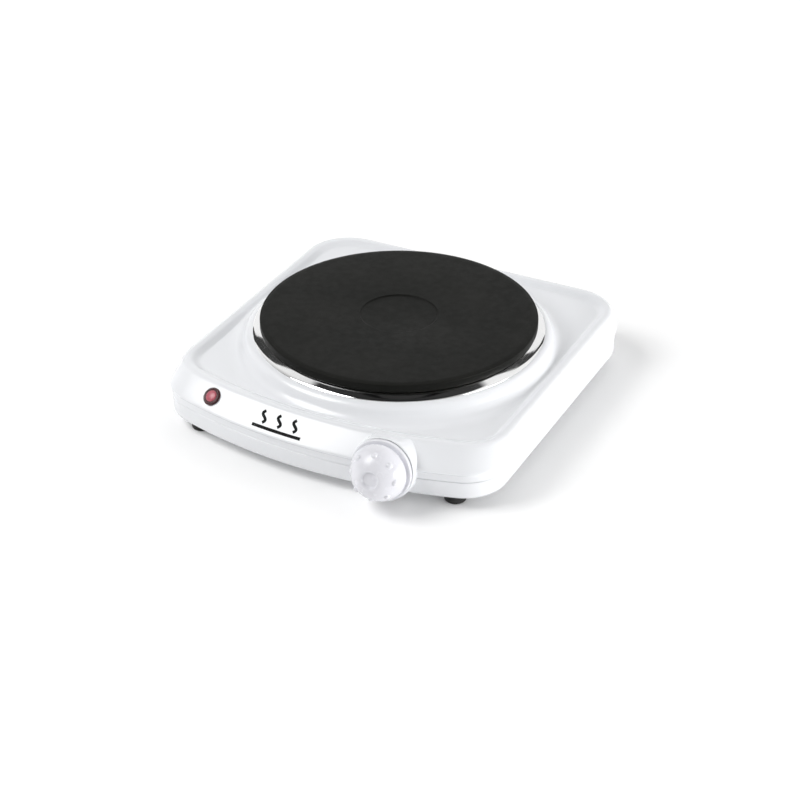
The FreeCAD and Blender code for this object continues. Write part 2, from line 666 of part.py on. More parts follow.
# The boss stops where the tray and the surface below it begin.
tray_keepout = body("tray_keepout")
lofted(tray_keepout, "tray_keepout_sides",
       [(skirt_line.inset(S.tray_fit * -1), S.foot_height * -1),
        (skirt_line.inset(S.tray_fit * -1), S.parting + S.parting_gap)])
under_boss = middle_block("under_boss", (60, 60, S.boss_floor),
                          (S.knob_x, -S.knob_front - 8, 0))
post_bores = []
bore_depth = S.foot_height + 9
for label, side, end in FEET:
    x, y = foot_spot(side, end)
    post_bores.append(cylinder(f"post_bore_{label}", S.screw_radius + S.thread_gap, bore_depth,
                               (x, y, S.tray_floor - 1)))
keepout = cut("keepout", tray_keepout, [
    cylinder(f"keep_post_{label}", S.post_radius + 1, S.parting + 5, (*foot_spot(side, end), 0))
    for label, side, end in FEET])
housing = cut("top_housing_body", walls, [
    keepout, under_boss, *post_bores,
    cylinder("plate_opening", S.collar_opening, S.plate_top, (0, 0, S.pan_under - 4)),
    local_cylinder("lamp_hole", S.lamp_hole, -6, 6, lamp_place),
    local_cylinder("bush_hole", S.bush_radius + S.thread_gap, -4, 4, knob_place),
    cylinder("gland_notch", S.gland_body + 0.15, 20, (-S.gland_x, S.body_back - 12, S.gland_height),
             gland_turn),
])
finish("top_housing", housing)

# ---------------------------------------------------------------- base tray

tray_top = S.parting
tray_inner = skirt_line.inset(S.sheet_wall)
lip_outer = skirt_line.inset(S.sheet_wall + S.tray_fit)
lip_inner = lip_outer.inset(S.sheet_wall)


def tray_levels(gap, floor, top):
    """The tray's side: nearly upright, then rounded in to its floor."""
    rounds = [(1.0, 0.6), (0.45, 1.5), (0.14, 3.0), (0.0, 5.2)]
    levels = [(skirt_line.inset(size(inward) + gap), floor + S.tray_round * share)
              for share, inward in reversed(rounds)]
    return levels + [(skirt_line.inset(gap), top)]


tray = body("tray_body")
lofted(tray, "tray_sides", tray_levels(size(0.0), S.foot_height, tray_top))
lofted(tray, "tray_hollow", tray_levels(S.sheet_wall, S.tray_floor, tray_top),
       kind="PartDesign::SubtractiveLoft")
lip_sketch = sketch_of(tray, "lip_profile", [lip_outer.path(), lip_inner.path()],
                       height=tray_top - 2)
lip_pad = tray.newObject("PartDesign::Pad", "lip_pad")
lip_pad.Profile = lip_sketch
lip_pad.setExpression("Length", (S.lip_rise + 2).text)
seat_sketch = sketch_of(tray, "seat_profile", [tray_inner.inset(-S.tray_fit).path(),
                                               lip_inner.path()], height=tray_top - 3)
seat_pad = tray.newObject("PartDesign::Pad", "seat_pad")
seat_pad.Profile = seat_sketch
seat_pad.Length = 2


def slot_path(x, y):
    """One vent slot with round ends, along Y."""
    half, straight = S.slot_width / 2, (S.slot_length - S.slot_width) / 2
    x, y = size(x), size(y)
    return [(x + half, y - straight), (x + half, y + straight, "left", half + 0.0001),
            (x - half, y + straight), (x - half, y - straight, "left", half + 0.0001)]


slot_rows = [S.plate_radius * S.slot_row_share * row - S.slot_row_shift for row in (-1, 0, 1)]
slot_span = S.slot_pitch * (S.slot_count - 1)
slots = sketch_of(tray, "vent_slots", [slot_path(-slot_span / 2, y) for y in slot_rows],
                  height=S.foot_height - 1)
slot_cut = tray.newObject("PartDesign::Pocket", "vent_pocket")
slot_cut.Profile = slots
slot_cut.Reversed = True
slot_cut.Length = 3
vents = tray.newObject("PartDesign::LinearPattern", "vent_rows")
vents.Originals = [slot_cut]
vents.Direction = (slots, ["H_Axis"])
vents.setExpression("Length", slot_span.text)
vents.setExpression("Occurrences", S.slot_count.text)
tray.Tip = vents

tray_piece = cut("tray_piece", tray, [
    *[cylinder(f"tray_screw_hole_{label}", S.screw_radius + 0.3, 4,
               (*foot_spot(side, end), S.foot_height - 1))
      for label, side, end in FEET],
    local_cylinder("stat_passage", 10, -S.boss_depth, 4, knob_place),
    cylinder("gland_hole", S.gland_body + 0.15, 20, (-S.gland_x, S.body_back - 12, S.gland_height),
             gland_turn),
    cylinder("earth_hole", 1.9, 4, (S.earth_x, S.block_back, S.foot_height - 1)),
    cylinder("block_hole", 1.5, 4, (S.pole_pitch / 2 - S.gland_x, S.block_back, S.foot_height - 1)),
    *[cylinder(f"clamp_hole_{side}", 1.5, 4,
               (S.clamp_half_pitch * side - S.gland_x, S.body_back - S.clamp_inset, S.foot_height - 1))
      for side in (-1, 1)],
])
finish("base_tray", tray_piece)

# ---------------------------------------------------------------- hotplate

heater_roof = S.plate_top - S.plate_skin
rim_low = S.plate_top - S.plate_rim
disc = turned("hotplate", [
    (0, heater_roof - 7),
    (0, S.plate_top - S.recess_depth),
    (S.recess_radius - 0.5, S.plate_top - S.recess_depth),
    (S.recess_radius, S.plate_top),
    (S.plate_radius - S.plate_edge, S.plate_top, "right", S.plate_edge + 0.0001),
    (S.plate_radius, S.plate_top - S.plate_edge),
    (S.plate_radius, rim_low + 0.6, "right", 0.6001),
    (S.plate_radius - 0.6, rim_low),
    (S.plate_body_radius, rim_low),
    (S.plate_body_radius, S.plate_bottom),
    (S.plate_body_radius - S.skirt_wall, S.plate_bottom),
    (S.plate_body_radius - S.skirt_wall - 1, heater_roof),
    (S.hub_radius + 1, heater_roof),
    (S.hub_radius, S.plate_bottom),
    (S.stud_radius + S.thread_gap, S.plate_bottom),
    (S.stud_radius + S.thread_gap, heater_roof - 7),
])
finish("hotplate_disc", disc)

# Spill ring: pressed up round the casting, spread over the collar's land and turned down.
ring_inner = S.plate_body_radius + S.ring_gap
ring_high = rim_low - S.ring_gap
ring_low = S.collar_top + S.ring_sheet
ring = turned("ring", [
    (ring_inner, ring_high - 5),
    (ring_inner + S.ring_sheet, ring_high - 5),
    (ring_inner + S.ring_sheet, ring_high - S.ring_sheet),
    (ring_inner + 2.4, ring_high - S.ring_sheet, "left", 14),
    (S.ring_outer - S.ring_sheet - 0.4, ring_low - S.ring_sheet),
    (S.ring_outer - S.ring_sheet - 0.2, S.collar_top),
    (S.ring_outer, S.collar_top),
    (S.ring_outer, ring_low - 0.4),
    (S.ring_outer - 0.5, ring_low + 0.1, "right", 14),
    (ring_inner + 2.2, ring_high),
    (ring_inner, ring_high),
])
finish("spill_ring", ring)

# Heater: three turns joined by links, with two tails down through the cover.
bed_top = heater_roof - 0.1
bed_low = S.plate_bottom + 1.4
coil_height = (bed_top + bed_low) / 2
coil_radii = (S.coil_inner, S.coil_middle, S.coil_outer)
half_gap = S.coil_gap.number / 2
coil_parts = []
for index, radius in enumerate(coil_radii):
    turn = doc.addObject("Part::Torus", f"coil_turn_{index}")
    bind(turn, Radius1=radius, Radius2=S.coil_wire, Angle3=360 - S.coil_gap)
    turn.Placement = Placement(Vector(), Rotation(Vector(0, 0, 1), half_gap - 90))
    put(turn, 0, 0, coil_height)
    coil_parts.append(turn)
for index, side in enumerate((1, -1)):
    start, end = coil_radii[index], coil_radii[index + 1]
    angle = math.radians(-90 + side * half_gap)
    link = doc.addObject("Part::Cylinder", f"coil_link_{index}")
    bind(link, Radius=S.coil_wire, Height=end - start)
    link.Placement = Placement(
        Vector(start.number * math.cos(angle), start.number * math.sin(angle), 0),
        Rotation(Vector(0, 0, 1), Vector(math.cos(angle), math.sin(angle), 0)))
    link.setExpression("Placement.Base.z", coil_height.text)
    coil_parts.append(link)
tail_angle = math.radians(-90 + half_gap)
TAILS = [(S.coil_inner * -math.cos(tail_angle), S.coil_inner * math.sin(tail_angle)),
         (S.coil_outer * math.cos(tail_angle), S.coil_outer * math.sin(tail_angle))]
tail_low = S.plate_bottom - 2.5
for index, (x, y) in enumerate(TAILS):
    coil_parts.append(cylinder(f"coil_tail_{index}", S.tail_radius, coil_height - tail_low,
                               (x, y, tail_low)))
coil = fuse("coil", coil_parts)
finish("heating_coil", coil)

bed_form = turned("bed_form", [
    (S.hub_radius + 1.4, bed_low),
    (S.plate_body_radius - S.skirt_wall - 1.4, bed_low),
    (S.plate_body_radius - S.skirt_wall - 1.4, bed_top),
    (S.hub_radius + 1.4, bed_top),
])
coil_space = doc.addObject("Part::MultiFuse", "coil_space")
coil_space.Shapes = coil_parts
finish("insulation_bed", cut("bed", bed_form, [coil_space]))

cover_form = turned("cover_form", [
    (S.hub_radius + 0.3, S.plate_bottom + 0.1),
    (S.plate_body_radius - S.skirt_wall - 0.3, S.plate_bottom + 0.1),
    (S.plate_body_radius - S.skirt_wall - 0.3, S.plate_bottom + 0.9),
    (S.hub_radius + 0.3, S.plate_bottom + 0.9),
])
finish("plate_cover", cut("cover", cover_form, [
    cylinder(f"cover_hole_{k}", S.tail_radius + 0.8, 6, (x, y, S.plate_bottom - 2))
    for k, (x, y) in enumerate(TAILS)]))

# ---------------------------------------------------------------- clamping stack on the stud

stud_low = S.bridge_top - S.bridge_sheet - 8.5
finish("centre_stud", turned("stud", [
    (0, stud_low), (S.stud_radius - 0.5, stud_low), (S.stud_radius, stud_low + 0.5),
    (S.stud_radius, heater_roof - 7.4), (0, heater_roof - 7.4)]))


def washer(name, inner, outer, low, high):
    return turned(name, [(inner, low), (outer, low), (outer, high), (inner, high)])


stud_clear = S.stud_radius + S.slip_gap
finish("stud_spacer", washer("spacer", stud_clear, stud_clear + 2.7, S.shield_top, S.plate_bottom))
finish("heat_shield", cut("shield", turned("shield_form", [
    (stud_clear, S.bridge_top),
    (S.shield_radius, S.bridge_top),
    (S.shield_radius, S.bridge_top + S.shield_turn_up),
    (S.shield_radius - S.shield_sheet, S.bridge_top + S.shield_turn_up),
    (S.shield_radius - S.shield_sheet, S.shield_top),
    (stud_clear, S.shield_top),
]), [middle_block(f"shield_hole_{k}", (13, 9, 6), (x, y, S.bridge_top - 2))
     for k, (x, y) in enumerate(TAILS)]))
under_bridge = S.bridge_top - S.bridge_sheet
finish("stud_washer", washer("flat_washer", stud_clear, stud_clear + 4.2,
                             under_bridge - 1.2, under_bridge))
nut_form = padded("nut_form", [polygon(6, S.stud_radius * 10 / 3)], 5.0, height=under_bridge - 6.2)
finish("stud_nut", cut("nut", nut_form, [
    cylinder("nut_bore", S.stud_radius + S.thread_gap, 8, (0, 0, under_bridge - 7.5))]))

# Bridge: a strip across the underside, its ends raised to bear on the pan, turned to a diagonal.
rise = S.bridge_drop
bend = S.bridge_reach - S.bridge_foot
bridge_form = padded("bridge_form", [[
    (-S.bridge_reach, S.pan_under - S.bridge_sheet), (-bend, S.pan_under - S.bridge_sheet),
    (-bend + 6, under_bridge), (bend - 6, under_bridge),
    (bend, S.pan_under - S.bridge_sheet), (S.bridge_reach, S.pan_under - S.bridge_sheet),
    (S.bridge_reach, S.pan_under), (bend - 0.4, S.pan_under),
    (bend - 6.4, S.bridge_top), (6.4 - bend, S.bridge_top),
    (0.4 - bend, S.pan_under), (-S.bridge_reach, S.pan_under)]],
    S.bridge_width, role="XZ_Plane", midplane=True)
bridge = cut("bridge", bridge_form,
             [cylinder("bridge_hole", stud_clear, 20, (0, 0, under_bridge - 8))])
bridge.Placement = Placement(Vector(), Rotation(Vector(0, 0, 1), 45))
finish("mounting_bridge", bridge)

# Plate terminals: a ceramic bead and a blade at each tail.
blade_drop = 6.0
for index, (x, y) in enumerate(TAILS):
    bead = cut(f"bead_{index}", middle_block(f"bead_form_{index}", (10, 7, 4.2),
                                            (x, y, S.plate_bottom - 4.4)),
               [cylinder(f"bead_bore_{index}", S.tail_radius + 0.15, 12, (x, y, S.plate_bottom - 8))])
    finish(f"terminal_bead_{index + 1}", bead)
bead_low = S.plate_bottom - 4.4
blade_top = bead_low
finish("plate_blades", group("blades", [
    middle_block(f"plate_blade_{k}", (S.blade_width, S.blade_thick, S.blade_length + S.blade_root),
                 (x, y, blade_top - S.blade_length - S.blade_root)) for k, (x, y) in enumerate(TAILS)]))

# ---------------------------------------------------------------- thermostat and knob (tilted frame)

stat_face = -S.stat_setback
stat_back = stat_face - S.stat_depth
stat_block = middle_block("stat_block", (S.stat_width, S.stat_height, S.stat_depth), (0, 0, stat_back))
stat_neck = cylinder("stat_neck", 8, S.stat_setback - S.sheet_wall - 0.1, (0, 0, stat_face))
leaf_room = block("leaf_room", (S.stat_width - 4, S.stat_height, 10),
                  (2 - S.stat_width / 2, 3.6, stat_back + 5))
stat_bore = cylinder("stat_bore", S.spindle_radius + 0.5, 5, (0, 0, stat_face - 4))
bush_seat = cylinder("bush_seat", S.bush_radius + S.thread_gap, 12, (0, 0, stat_face))
blade_slots = [middle_block(f"stat_blade_slot_{k}", (S.blade_width, S.blade_thick, S.blade_root),
                            (x, 0, stat_back)) for k, x in enumerate((-8, 8))]
stat = cut("stat", fuse("stat_form", [stat_block, stat_neck]),
           [leaf_room, stat_bore, bush_seat, *blade_slots])
finish("thermostat_body", stat, knob_place)

bush_top = size(5.0)
bush = cut("bush", cylinder("bush_form", S.bush_radius, S.stat_setback + bush_top, (0, 0, stat_face)),
           [cylinder("bush_bore", S.spindle_radius + S.spindle_fit, 30, (0, 0, -20))])
finish("thermostat_bush", bush, knob_place)

stat_nut = cut("stat_nut", padded("stat_nut_form", [polygon(6, S.nut_width)], S.nut_height,
                                  height=size(0.05)),
               [cylinder("stat_nut_bore", S.bush_radius + S.thread_gap, 9, (0, 0, -2))])
finish("thermostat_nut", stat_nut, knob_place)

spindle_end = S.knob_length - S.cap_recess_depth - S.knob_wall - 0.6
spindle_tail = stat_face - 3.6
spindle = cut("spindle", cylinder("spindle_form", S.spindle_radius, spindle_end - spindle_tail,
                                  (0, 0, spindle_tail)),
              [block("spindle_flat", (12, 4, 20), (-6, S.spindle_radius - S.flat_depth, bush_top + 0.8))])
finish("thermostat_spindle", spindle, knob_place)

leaf_x = 2 - S.stat_width / 2
leaf_z = stat_back + 7
finish("bimetal_strip", block("bimetal", (S.leaf_length, 0.8, 6), (leaf_x, 5.2, leaf_z)), knob_place)
finish("contact_leaf", block("leaf", (S.leaf_length, 0.4, 6), (leaf_x, 8.6, leaf_z)), knob_place)
contact_turn = Rotation(Vector(1, 0, 0), -90)
finish("contact_points", group("contacts", [
    cylinder("contact_low", 1.6, 1.2, (leaf_x + S.leaf_length - 4, 6.0, leaf_z + 3), contact_turn),
    cylinder("contact_high", 1.6, 1.2, (leaf_x + S.leaf_length - 4, 7.4, leaf_z + 3), contact_turn)]),
       knob_place)
finish("thermostat_blades", group("stat_blades", [
    middle_block(f"stat_blade_{k}", (S.blade_width, S.blade_thick, S.blade_length + S.blade_root),
                 (x, 0, stat_back - S.blade_length)) for k, x in enumerate((-8, 8))]), knob_place)

# Knob: flange, groove and dome turned as one, hollow behind, with a hub and moulded grip pips.
flange_low = S.knob_gap
flange_top = flange_low + S.flange_height
dome_bend = root(S.dome_run * S.dome_run + S.dome_rise * S.dome_rise) * DOME_BEND
recess_floor = S.knob_length - S.cap_recess_depth
inside_top = recess_floor - S.knob_wall
knob_form = turned("knob_form", [
    (0, recess_floor),
    (0, inside_top),
    (S.cap_radius, inside_top),
    (S.groove_radius - S.knob_wall, S.dome_low),
    (S.groove_radius - S.knob_wall, flange_low),
    (S.flange_radius - 0.8, flange_low, "left", 0.8001),
    (S.flange_radius, flange_low + 0.8),
    (S.flange_radius, flange_top - 1.0, "left", 1.0001),
    (S.flange_radius - 1.0, flange_top),
    (S.groove_radius, flange_top),
    (S.groove_radius, S.groove_top),
    (S.dome_radius - 0.6, S.groove_top, "left", 0.9),
    (S.dome_radius, S.groove_top + 0.6),
    (S.dome_radius, S.dome_low, "left", dome_bend),
    (S.cap_radius, S.knob_length),
    (S.cap_recess + 0.3, S.knob_length, "left", 1.2),
    (S.cap_recess - 0.6, recess_floor),
])
hub_low = bush_top + 0.8
hub_outer = S.spindle_radius + S.clip_sheet + S.hub_wall
knob_hub = cylinder("knob_hub", hub_outer, inside_top - hub_low + 0.5, (0, 0, hub_low))
pips = []
for k in range(int(S.grip_count.number)):
    angle = math.radians(360 / S.grip_count.number * k)
    pip = doc.addObject("Part::Sphere", f"grip_pip_{k}")
    bind(pip, Radius=S.grip_pip)
    put(pip, S.grip_circle * round(math.cos(angle), 9), S.grip_circle * round(math.sin(angle), 9),
        S.grip_height)
    pips.append(pip)
hub_bore = cut("hub_bore", cylinder("hub_bore_round", S.spindle_radius + S.clip_sheet + 0.06,
                                    inside_top - hub_low - 0.4, (0, 0, hub_low - 0.1)),
               [block("hub_bore_flat", (12, 4, 30), (-6, S.spindle_radius - S.flat_depth + 0.08,
                                                     hub_low - 5))])
knob = cut("knob_piece", fuse("knob_solid", [knob_form, knob_hub, *pips]), [hub_bore])
finish("knob", knob, knob_place)

clip_round = cut("clip_round", cylinder("clip_form", S.spindle_radius + S.clip_sheet + 0.02,
                                        (inside_top - hub_low) * 0.6, (0, 0, hub_low + 0.6)),
                 [cylinder("clip_bore", S.spindle_radius + 0.02, 20, (0, 0, 0)),
                  block("clip_opening", (20, 8, 20), (-10, 1, 0))])
finish("knob_spring_clip", clip_round, knob_place)

# ---------------------------------------------------------------- indicator lamp (tilted frame)

lens_form = turned("lens_form", [
    (0, -0.6), (S.lamp_bore, -0.6), (S.lamp_bore, -8), (S.lamp_stem, -8), (S.lamp_stem, S.lamp_seat),
    (S.lamp_flange, S.lamp_seat), (S.lamp_flange, 0.7, "left", 1.0001), (S.lamp_flange - 1, 1.7),
    (S.lamp_stem - 0.5, 1.5), (S.lamp_stem - 0.8, 1.3, "left", 8.0), (0.4, 2.35), (0, 2.35)])
finish("lamp_lens", lens_form, lamp_place)
facia_length = root(S.facia_run_front * S.facia_run_front + S.facia_height * S.facia_height)
facia_normal_wall = S.sheet_wall * (S.facia_run_front + S.facia_height) / facia_length + 0.12
finish("lamp_push_clip", washer("push_clip", S.lamp_stem + 0.05, S.lamp_stem + 2.8,
                                -facia_normal_wall - 0.9, -facia_normal_wall - 0.1), lamp_place)
finish("lamp_holder", turned("holder_form", [
    (S.lamp_bore - 0.5, -8.1), (S.lamp_stem, -8.1), (S.lamp_stem, -17), (0, -17), (0, -16),
    (S.lamp_bore - 0.5, -16)]), lamp_place)
neon_radius = S.lamp_bore - 1.3
finish("neon_lamp", turned("neon_form", [
    (0, -15.9), (neon_radius, -15.9), (neon_radius, -4), (neon_radius - 0.6, -2.4),
    (0.5, -1.6), (0, -1.6)]), lamp_place)
finish("lamp_resistor", cylinder("resistor_form", 1.5, 8, (0, 0, -25.2)), lamp_place)

# ---------------------------------------------------------------- feet and their screws

screw_low = size(2.2)
screw_seat = screw_low + 2.2
for label, side, end in FEET:
    x, y = foot_spot(side, end)
    foot = turned(f"foot_form_{label}", [
        (S.foot_recess, 0), (S.foot_radius - 0.6, 0), (S.foot_radius, 0.6),
        (S.foot_radius + S.foot_taper, S.foot_height), (S.screw_radius + 0.2, S.foot_height),
        (S.screw_radius + 0.2, screw_seat), (S.foot_recess, screw_seat)])
    put(foot, x, y, 0)
    finish(f"foot_{label}", foot)
screws = []
for label, side, end in FEET:
    x, y = foot_spot(side, end)
    screw = turned(f"foot_screw_{label}", [
        (0, screw_low + 0.9), (1.2, screw_low + 0.9), (1.2, screw_low),
        (S.screw_head - 0.7, screw_low), (S.screw_head, screw_low + 1.2), (S.screw_head, screw_seat),
        (S.screw_radius, screw_seat), (S.screw_radius, S.foot_height + 11),
        (S.screw_radius - 1, S.foot_height + 13), (0, S.foot_height + 13)])
    screws.append(put(screw, x, y, 0))
finish("foot_screws", group("foot_screw_set", screws))

# ---------------------------------------------------------------- mains entry

gland_inside = S.gland_out - S.gland_length
wall_out = S.body_back - S.ledge_lip + 0.2
wall_in = S.body_back - S.ledge_lip - 5.6


def along_back(name, radius, low, high):
    """A cylinder along Y on the gland's axis."""
    return cylinder(name, radius, high - low, (-S.gland_x, low, S.gland_height), gland_turn)


gland = cut("gland", fuse("gland_form", [
    along_back("gland_core", S.gland_body, gland_inside, S.gland_out),
    along_back("gland_outer", S.gland_flange, wall_out, S.gland_out - 0.6),
    along_back("gland_keeper", S.gland_keeper, gland_inside, wall_in),
]), [along_back("gland_bore_tool", S.gland_bore, gland_inside - 4, S.gland_out + 4)])
finish("cord_gland", gland)

clamp_y = S.body_back - S.clamp_inset
clamp = cut("clamp", middle_block("clamp_form", (S.clamp_half_pitch * 2 + 8, 8, S.clamp_height),
                                  (-S.gland_x, clamp_y, S.tray_floor)), [
    cylinder("clamp_arch", 4, 12, (-S.gland_x, clamp_y - 6, S.gland_height - 1), gland_turn),
    middle_block("clamp_gap", (8, 12, S.gland_height - 1 - S.tray_floor + 1),
                 (-S.gland_x, clamp_y, S.tray_floor - 1)),
    *[cylinder(f"clamp_bore_{side}", 1.7, 20,
               (S.clamp_half_pitch * side - S.gland_x, clamp_y, S.tray_floor - 2))
      for side in (-1, 1)]])
finish("cord_clamp", clamp)


def small_screw(name, x, y, seat, low, shank=1.45, head=2.9):
    """A cross-slotted screw, head up."""
    form = turned(name + "_form", [
        (0, low), (shank - 0.5, low), (shank, low + 0.6), (shank, seat), (head, seat),
        (head, seat + 1.2, "left", head * 1.35), (head * 0.35, seat + 2.2), (0, seat + 2.2)])
    return put(form, x, y, 0)


finish("cord_clamp_screws", group("clamp_screw_set", [
    small_screw(f"clamp_screw_{side}", S.clamp_half_pitch * side - S.gland_x, clamp_y,
                S.tray_floor + S.clamp_height, S.foot_height + 0.1) for side in (-1, 1)]))

POLES = (-1, 0, 1)
block_low = S.tray_floor
pole_height = block_low + 5.0


def pole_x(k):
    return S.pole_pitch * k - S.gland_x


block_form = middle_block("block_form", (S.block_width, S.block_depth, S.block_height),
                          (-S.gland_x, S.block_back, block_low))
insert_radius = 3.1
tunnels = [cylinder(f"pole_tunnel_{k}", insert_radius + 0.05, S.block_depth + 4,
                    (pole_x(k), S.block_back - S.block_depth / 2 - 2, pole_height), gland_turn)
           for k in POLES]
SCREW_ROWS = (-5.0, 5.0)
screw_wells = [cylinder(f"well_{k}_{row}", 2.0, 20, (pole_x(k), S.block_back + row, pole_height))
               for k in POLES for row in SCREW_ROWS]
block_fixing_x = S.pole_pitch / 2 - S.gland_x
fixing_well = cylinder("fixing_well", 1.7, S.block_height + 4,
                       (block_fixing_x, S.block_back, block_low - 2))
finish("mains_terminal_block",
       cut("mains_block", block_form, [*tunnels, *screw_wells, fixing_well]))
finish("block_screw", small_screw("block_fixing", block_fixing_x, S.block_back,
                                  block_low + S.block_height, S.foot_height + 0.1))
inserts = []
for k in POLES:
    tube = cylinder(f"insert_tube_{k}", insert_radius, S.block_depth - 2,
                    (pole_x(k), S.block_back - S.block_depth / 2 + 1, pole_height), gland_turn)
    inserts.append(cut(f"insert_{k}", tube, [
        cylinder(f"insert_bore_{k}", 2.1, S.block_depth + 2,
                 (pole_x(k), S.block_back - S.block_depth / 2 - 1, pole_height), gland_turn),
        *[cylinder(f"insert_thread_{k}_{row}", 1.35, 8, (pole_x(k), S.block_back + row, pole_height))
          for row in SCREW_ROWS]]))
finish("terminal_inserts", group("insert_set", inserts))
finish("terminal_screws", group("terminal_screw_set", [
    put(turned(f"terminal_screw_{k}_{row}", [
        (0, pole_height + 2.2), (1.3, pole_height + 2.2), (1.3, pole_height + 4.0),
        (1.8, pole_height + 4.0), (1.8, pole_height + 6.4), (0.5, pole_height + 6.4),
        (0.5, pole_height + 5.4), (0, pole_height + 5.4)]), pole_x(k), S.block_back + row, 0)
    for k in POLES for row in SCREW_ROWS]))

tag = cut("earth_tag_piece", fuse("earth_tag_form", [
    cylinder("earth_tag_ring", 4.2, 0.8, (S.earth_x, S.block_back, S.tray_floor)),
    middle_block("earth_tag_arm", (4, 9, 0.8), (S.earth_x, S.block_back - 5.5, S.tray_floor))]),
    [cylinder("earth_tag_hole", 1.9, 4, (S.earth_x, S.block_back, S.tray_floor - 2))])
finish("earth_tag", tag)
finish("earth_screw", small_screw("earth_fixing", S.earth_x, S.block_back, S.tray_floor + 0.8,
                                  S.foot_height + 0.1, shank=1.8, head=3.4))

# ---------------------------------------------------------------- internal leads

BEND_SHARE = 0.45


def tube(name, points, radius):
    """A round lead: straight runs joined by tangent arcs, each as large as its two runs allow."""
    path = []
    start = points[0]
    radii = []
    for before, corner, after in zip(points, points[1:], points[2:]):
        inward, outward = before - corner, after - corner
        reach = BEND_SHARE * min(inward.Length, outward.Length)
        inward.normalize()
        outward.normalize()
        half_turn = (math.pi - inward.getAngle(outward)) / 2
        bend_radius = reach / math.tan(half_turn)
        radii.append(bend_radius)
        first, last = corner + inward * reach, corner + outward * reach
        towards = (inward + outward).normalize()
        centre = corner + towards * (bend_radius / math.cos(half_turn))
        path.append(Part.LineSegment(start, first).toShape())
        path.append(Part.Arc(first, centre - towards * bend_radius, last).toShape())
        start = last
    path.append(Part.LineSegment(start, points[-1]).toShape())
    spine = Part.Wire(path)
    ring_edge = Part.Circle(points[0], points[1] - points[0], radius).toShape()
    shape = spine.makePipeShell([Part.Wire([ring_edge])], True, True)
    exact = math.pi * radius**2 * spine.Length
    print(f"{name}: length {spine.Length:.0f}, smallest bend {min(radii):.1f}, "
          f"volume ratio {shape.Volume / exact:.4f}")
    thing = doc.addObject("Part::Feature", name + "_tube")
    thing.Shape = shape
    return finish(name, thing, Placement())


def spot(x, y, z):
    return Vector(size(x).number, size(y).number, size(z).number)


sleeve_length = S.blade_length - 1


def sleeve(name, centre_x, centre_y, low):
    """A push-on connector's sleeve round a blade, open where the blade enters."""
    outside = middle_block(name + "_form", (S.blade_width + 1.6, S.blade_thick + 2.2, sleeve_length + 2),
                           (centre_x, centre_y, low))
    inside = middle_block(name + "_slot", (S.blade_width + 0.2, S.blade_thick + 0.2, sleeve_length + 3),
                          (centre_x, centre_y, size(low) + 2))
    return cut(name, outside, [inside])


stat_sleeve_low = stat_back - S.blade_length - 2.2
finish("thermostat_connectors", group("stat_sleeves", [
    sleeve(f"stat_sleeve_{k}", x, 0, stat_sleeve_low) for k, x in enumerate((-8, 8))]), knob_place)
plate_sleeve_low = blade_top - S.blade_length - 6.2
finish("plate_connectors", group("plate_sleeves", [
    sleeve(f"plate_sleeve_{k}", x, y, plate_sleeve_low) for k, (x, y) in enumerate(TAILS)]))

front_of_block = S.block_back - S.block_depth / 2
lead_z = pole_height
run_z = S.tray_floor + 3.2
lead = S.lead_radius.number
thin = S.lamp_lead_radius.number
(tail_ax, tail_ay), (tail_bx, tail_by) = TAILS
entry = front_of_block + 4


def plan(x_share, y_share, z):
    """A waypoint whose place is a share of the plate's radius each way."""
    return spot(S.plate_radius * x_share, S.plate_radius * y_share, z)


def at_stat(x, y, z):
    return knob_place.multVec(spot(x, y, z))


def at_lamp(x, z):
    return lamp_place.multVec(Vector(x, 0, z))


tube("lead_live", [
    spot(pole_x(-1), entry, lead_z), spot(pole_x(-1), entry - 18, lead_z),
    plan(-0.649, 0.368, run_z), plan(-0.595, 0.054, run_z), plan(-0.476, -0.281, run_z),
    plan(-0.216, -0.497, run_z - 0.6), plan(0.086, -0.562, run_z - 0.6),
    plan(0.368, -0.584, run_z), plan(0.562, -0.659, run_z + 1.4),
    at_stat(8, 0, stat_sleeve_low - 15), at_stat(8, 0, stat_sleeve_low)], lead)
tube("lead_switched", [
    at_stat(-8, 0, stat_sleeve_low), at_stat(-8, 0, stat_sleeve_low - 13),
    plan(0.346, -0.719, run_z + 3.4), plan(0.238, -0.719, run_z + 4),
    spot(tail_bx, tail_by, plate_sleeve_low - 4.6), spot(tail_bx, tail_by, plate_sleeve_low)], lead)
tube("lead_neutral", [
    spot(pole_x(0) - 0.9, entry, lead_z), spot(pole_x(0) - 0.9, entry - 18, lead_z),
    plan(-0.519, 0.346, run_z), plan(-0.432, 0.054, run_z), plan(-0.303, -0.151, run_z),
    plan(-0.184, -0.281, run_z + 0.4), plan(-0.115, -0.349, run_z + 2.4),
    spot(tail_ax, tail_ay, plate_sleeve_low - 5),
    spot(tail_ax, tail_ay, plate_sleeve_low)], lead)
tag_z = S.tray_floor + 0.8 + S.lead_radius
tube("lead_earth", [
    spot(pole_x(1), entry, lead_z), spot(pole_x(1), entry - 16, lead_z),
    plan(-0.292, 0.541, run_z), plan(-0.151, 0.584, tag_z), spot(S.earth_x, S.block_back - 18, tag_z),
    spot(S.earth_x, S.block_back - 7.6, tag_z)], lead)
tube("lamp_lead_neutral", [
    spot(pole_x(0) + 1.15, entry, lead_z), spot(pole_x(0) + 1.15, entry - 16, lead_z + 1),
    plan(-0.541, 0.497, run_z + 6), plan(-0.714, 0.324, run_z + 5), plan(-0.886, 0.000, run_z + 1),
    plan(-0.941, -0.389, run_z), plan(-0.908, -0.714, run_z + 1),
    at_lamp(-3.6, -27), at_lamp(-3.6, -17)], thin)
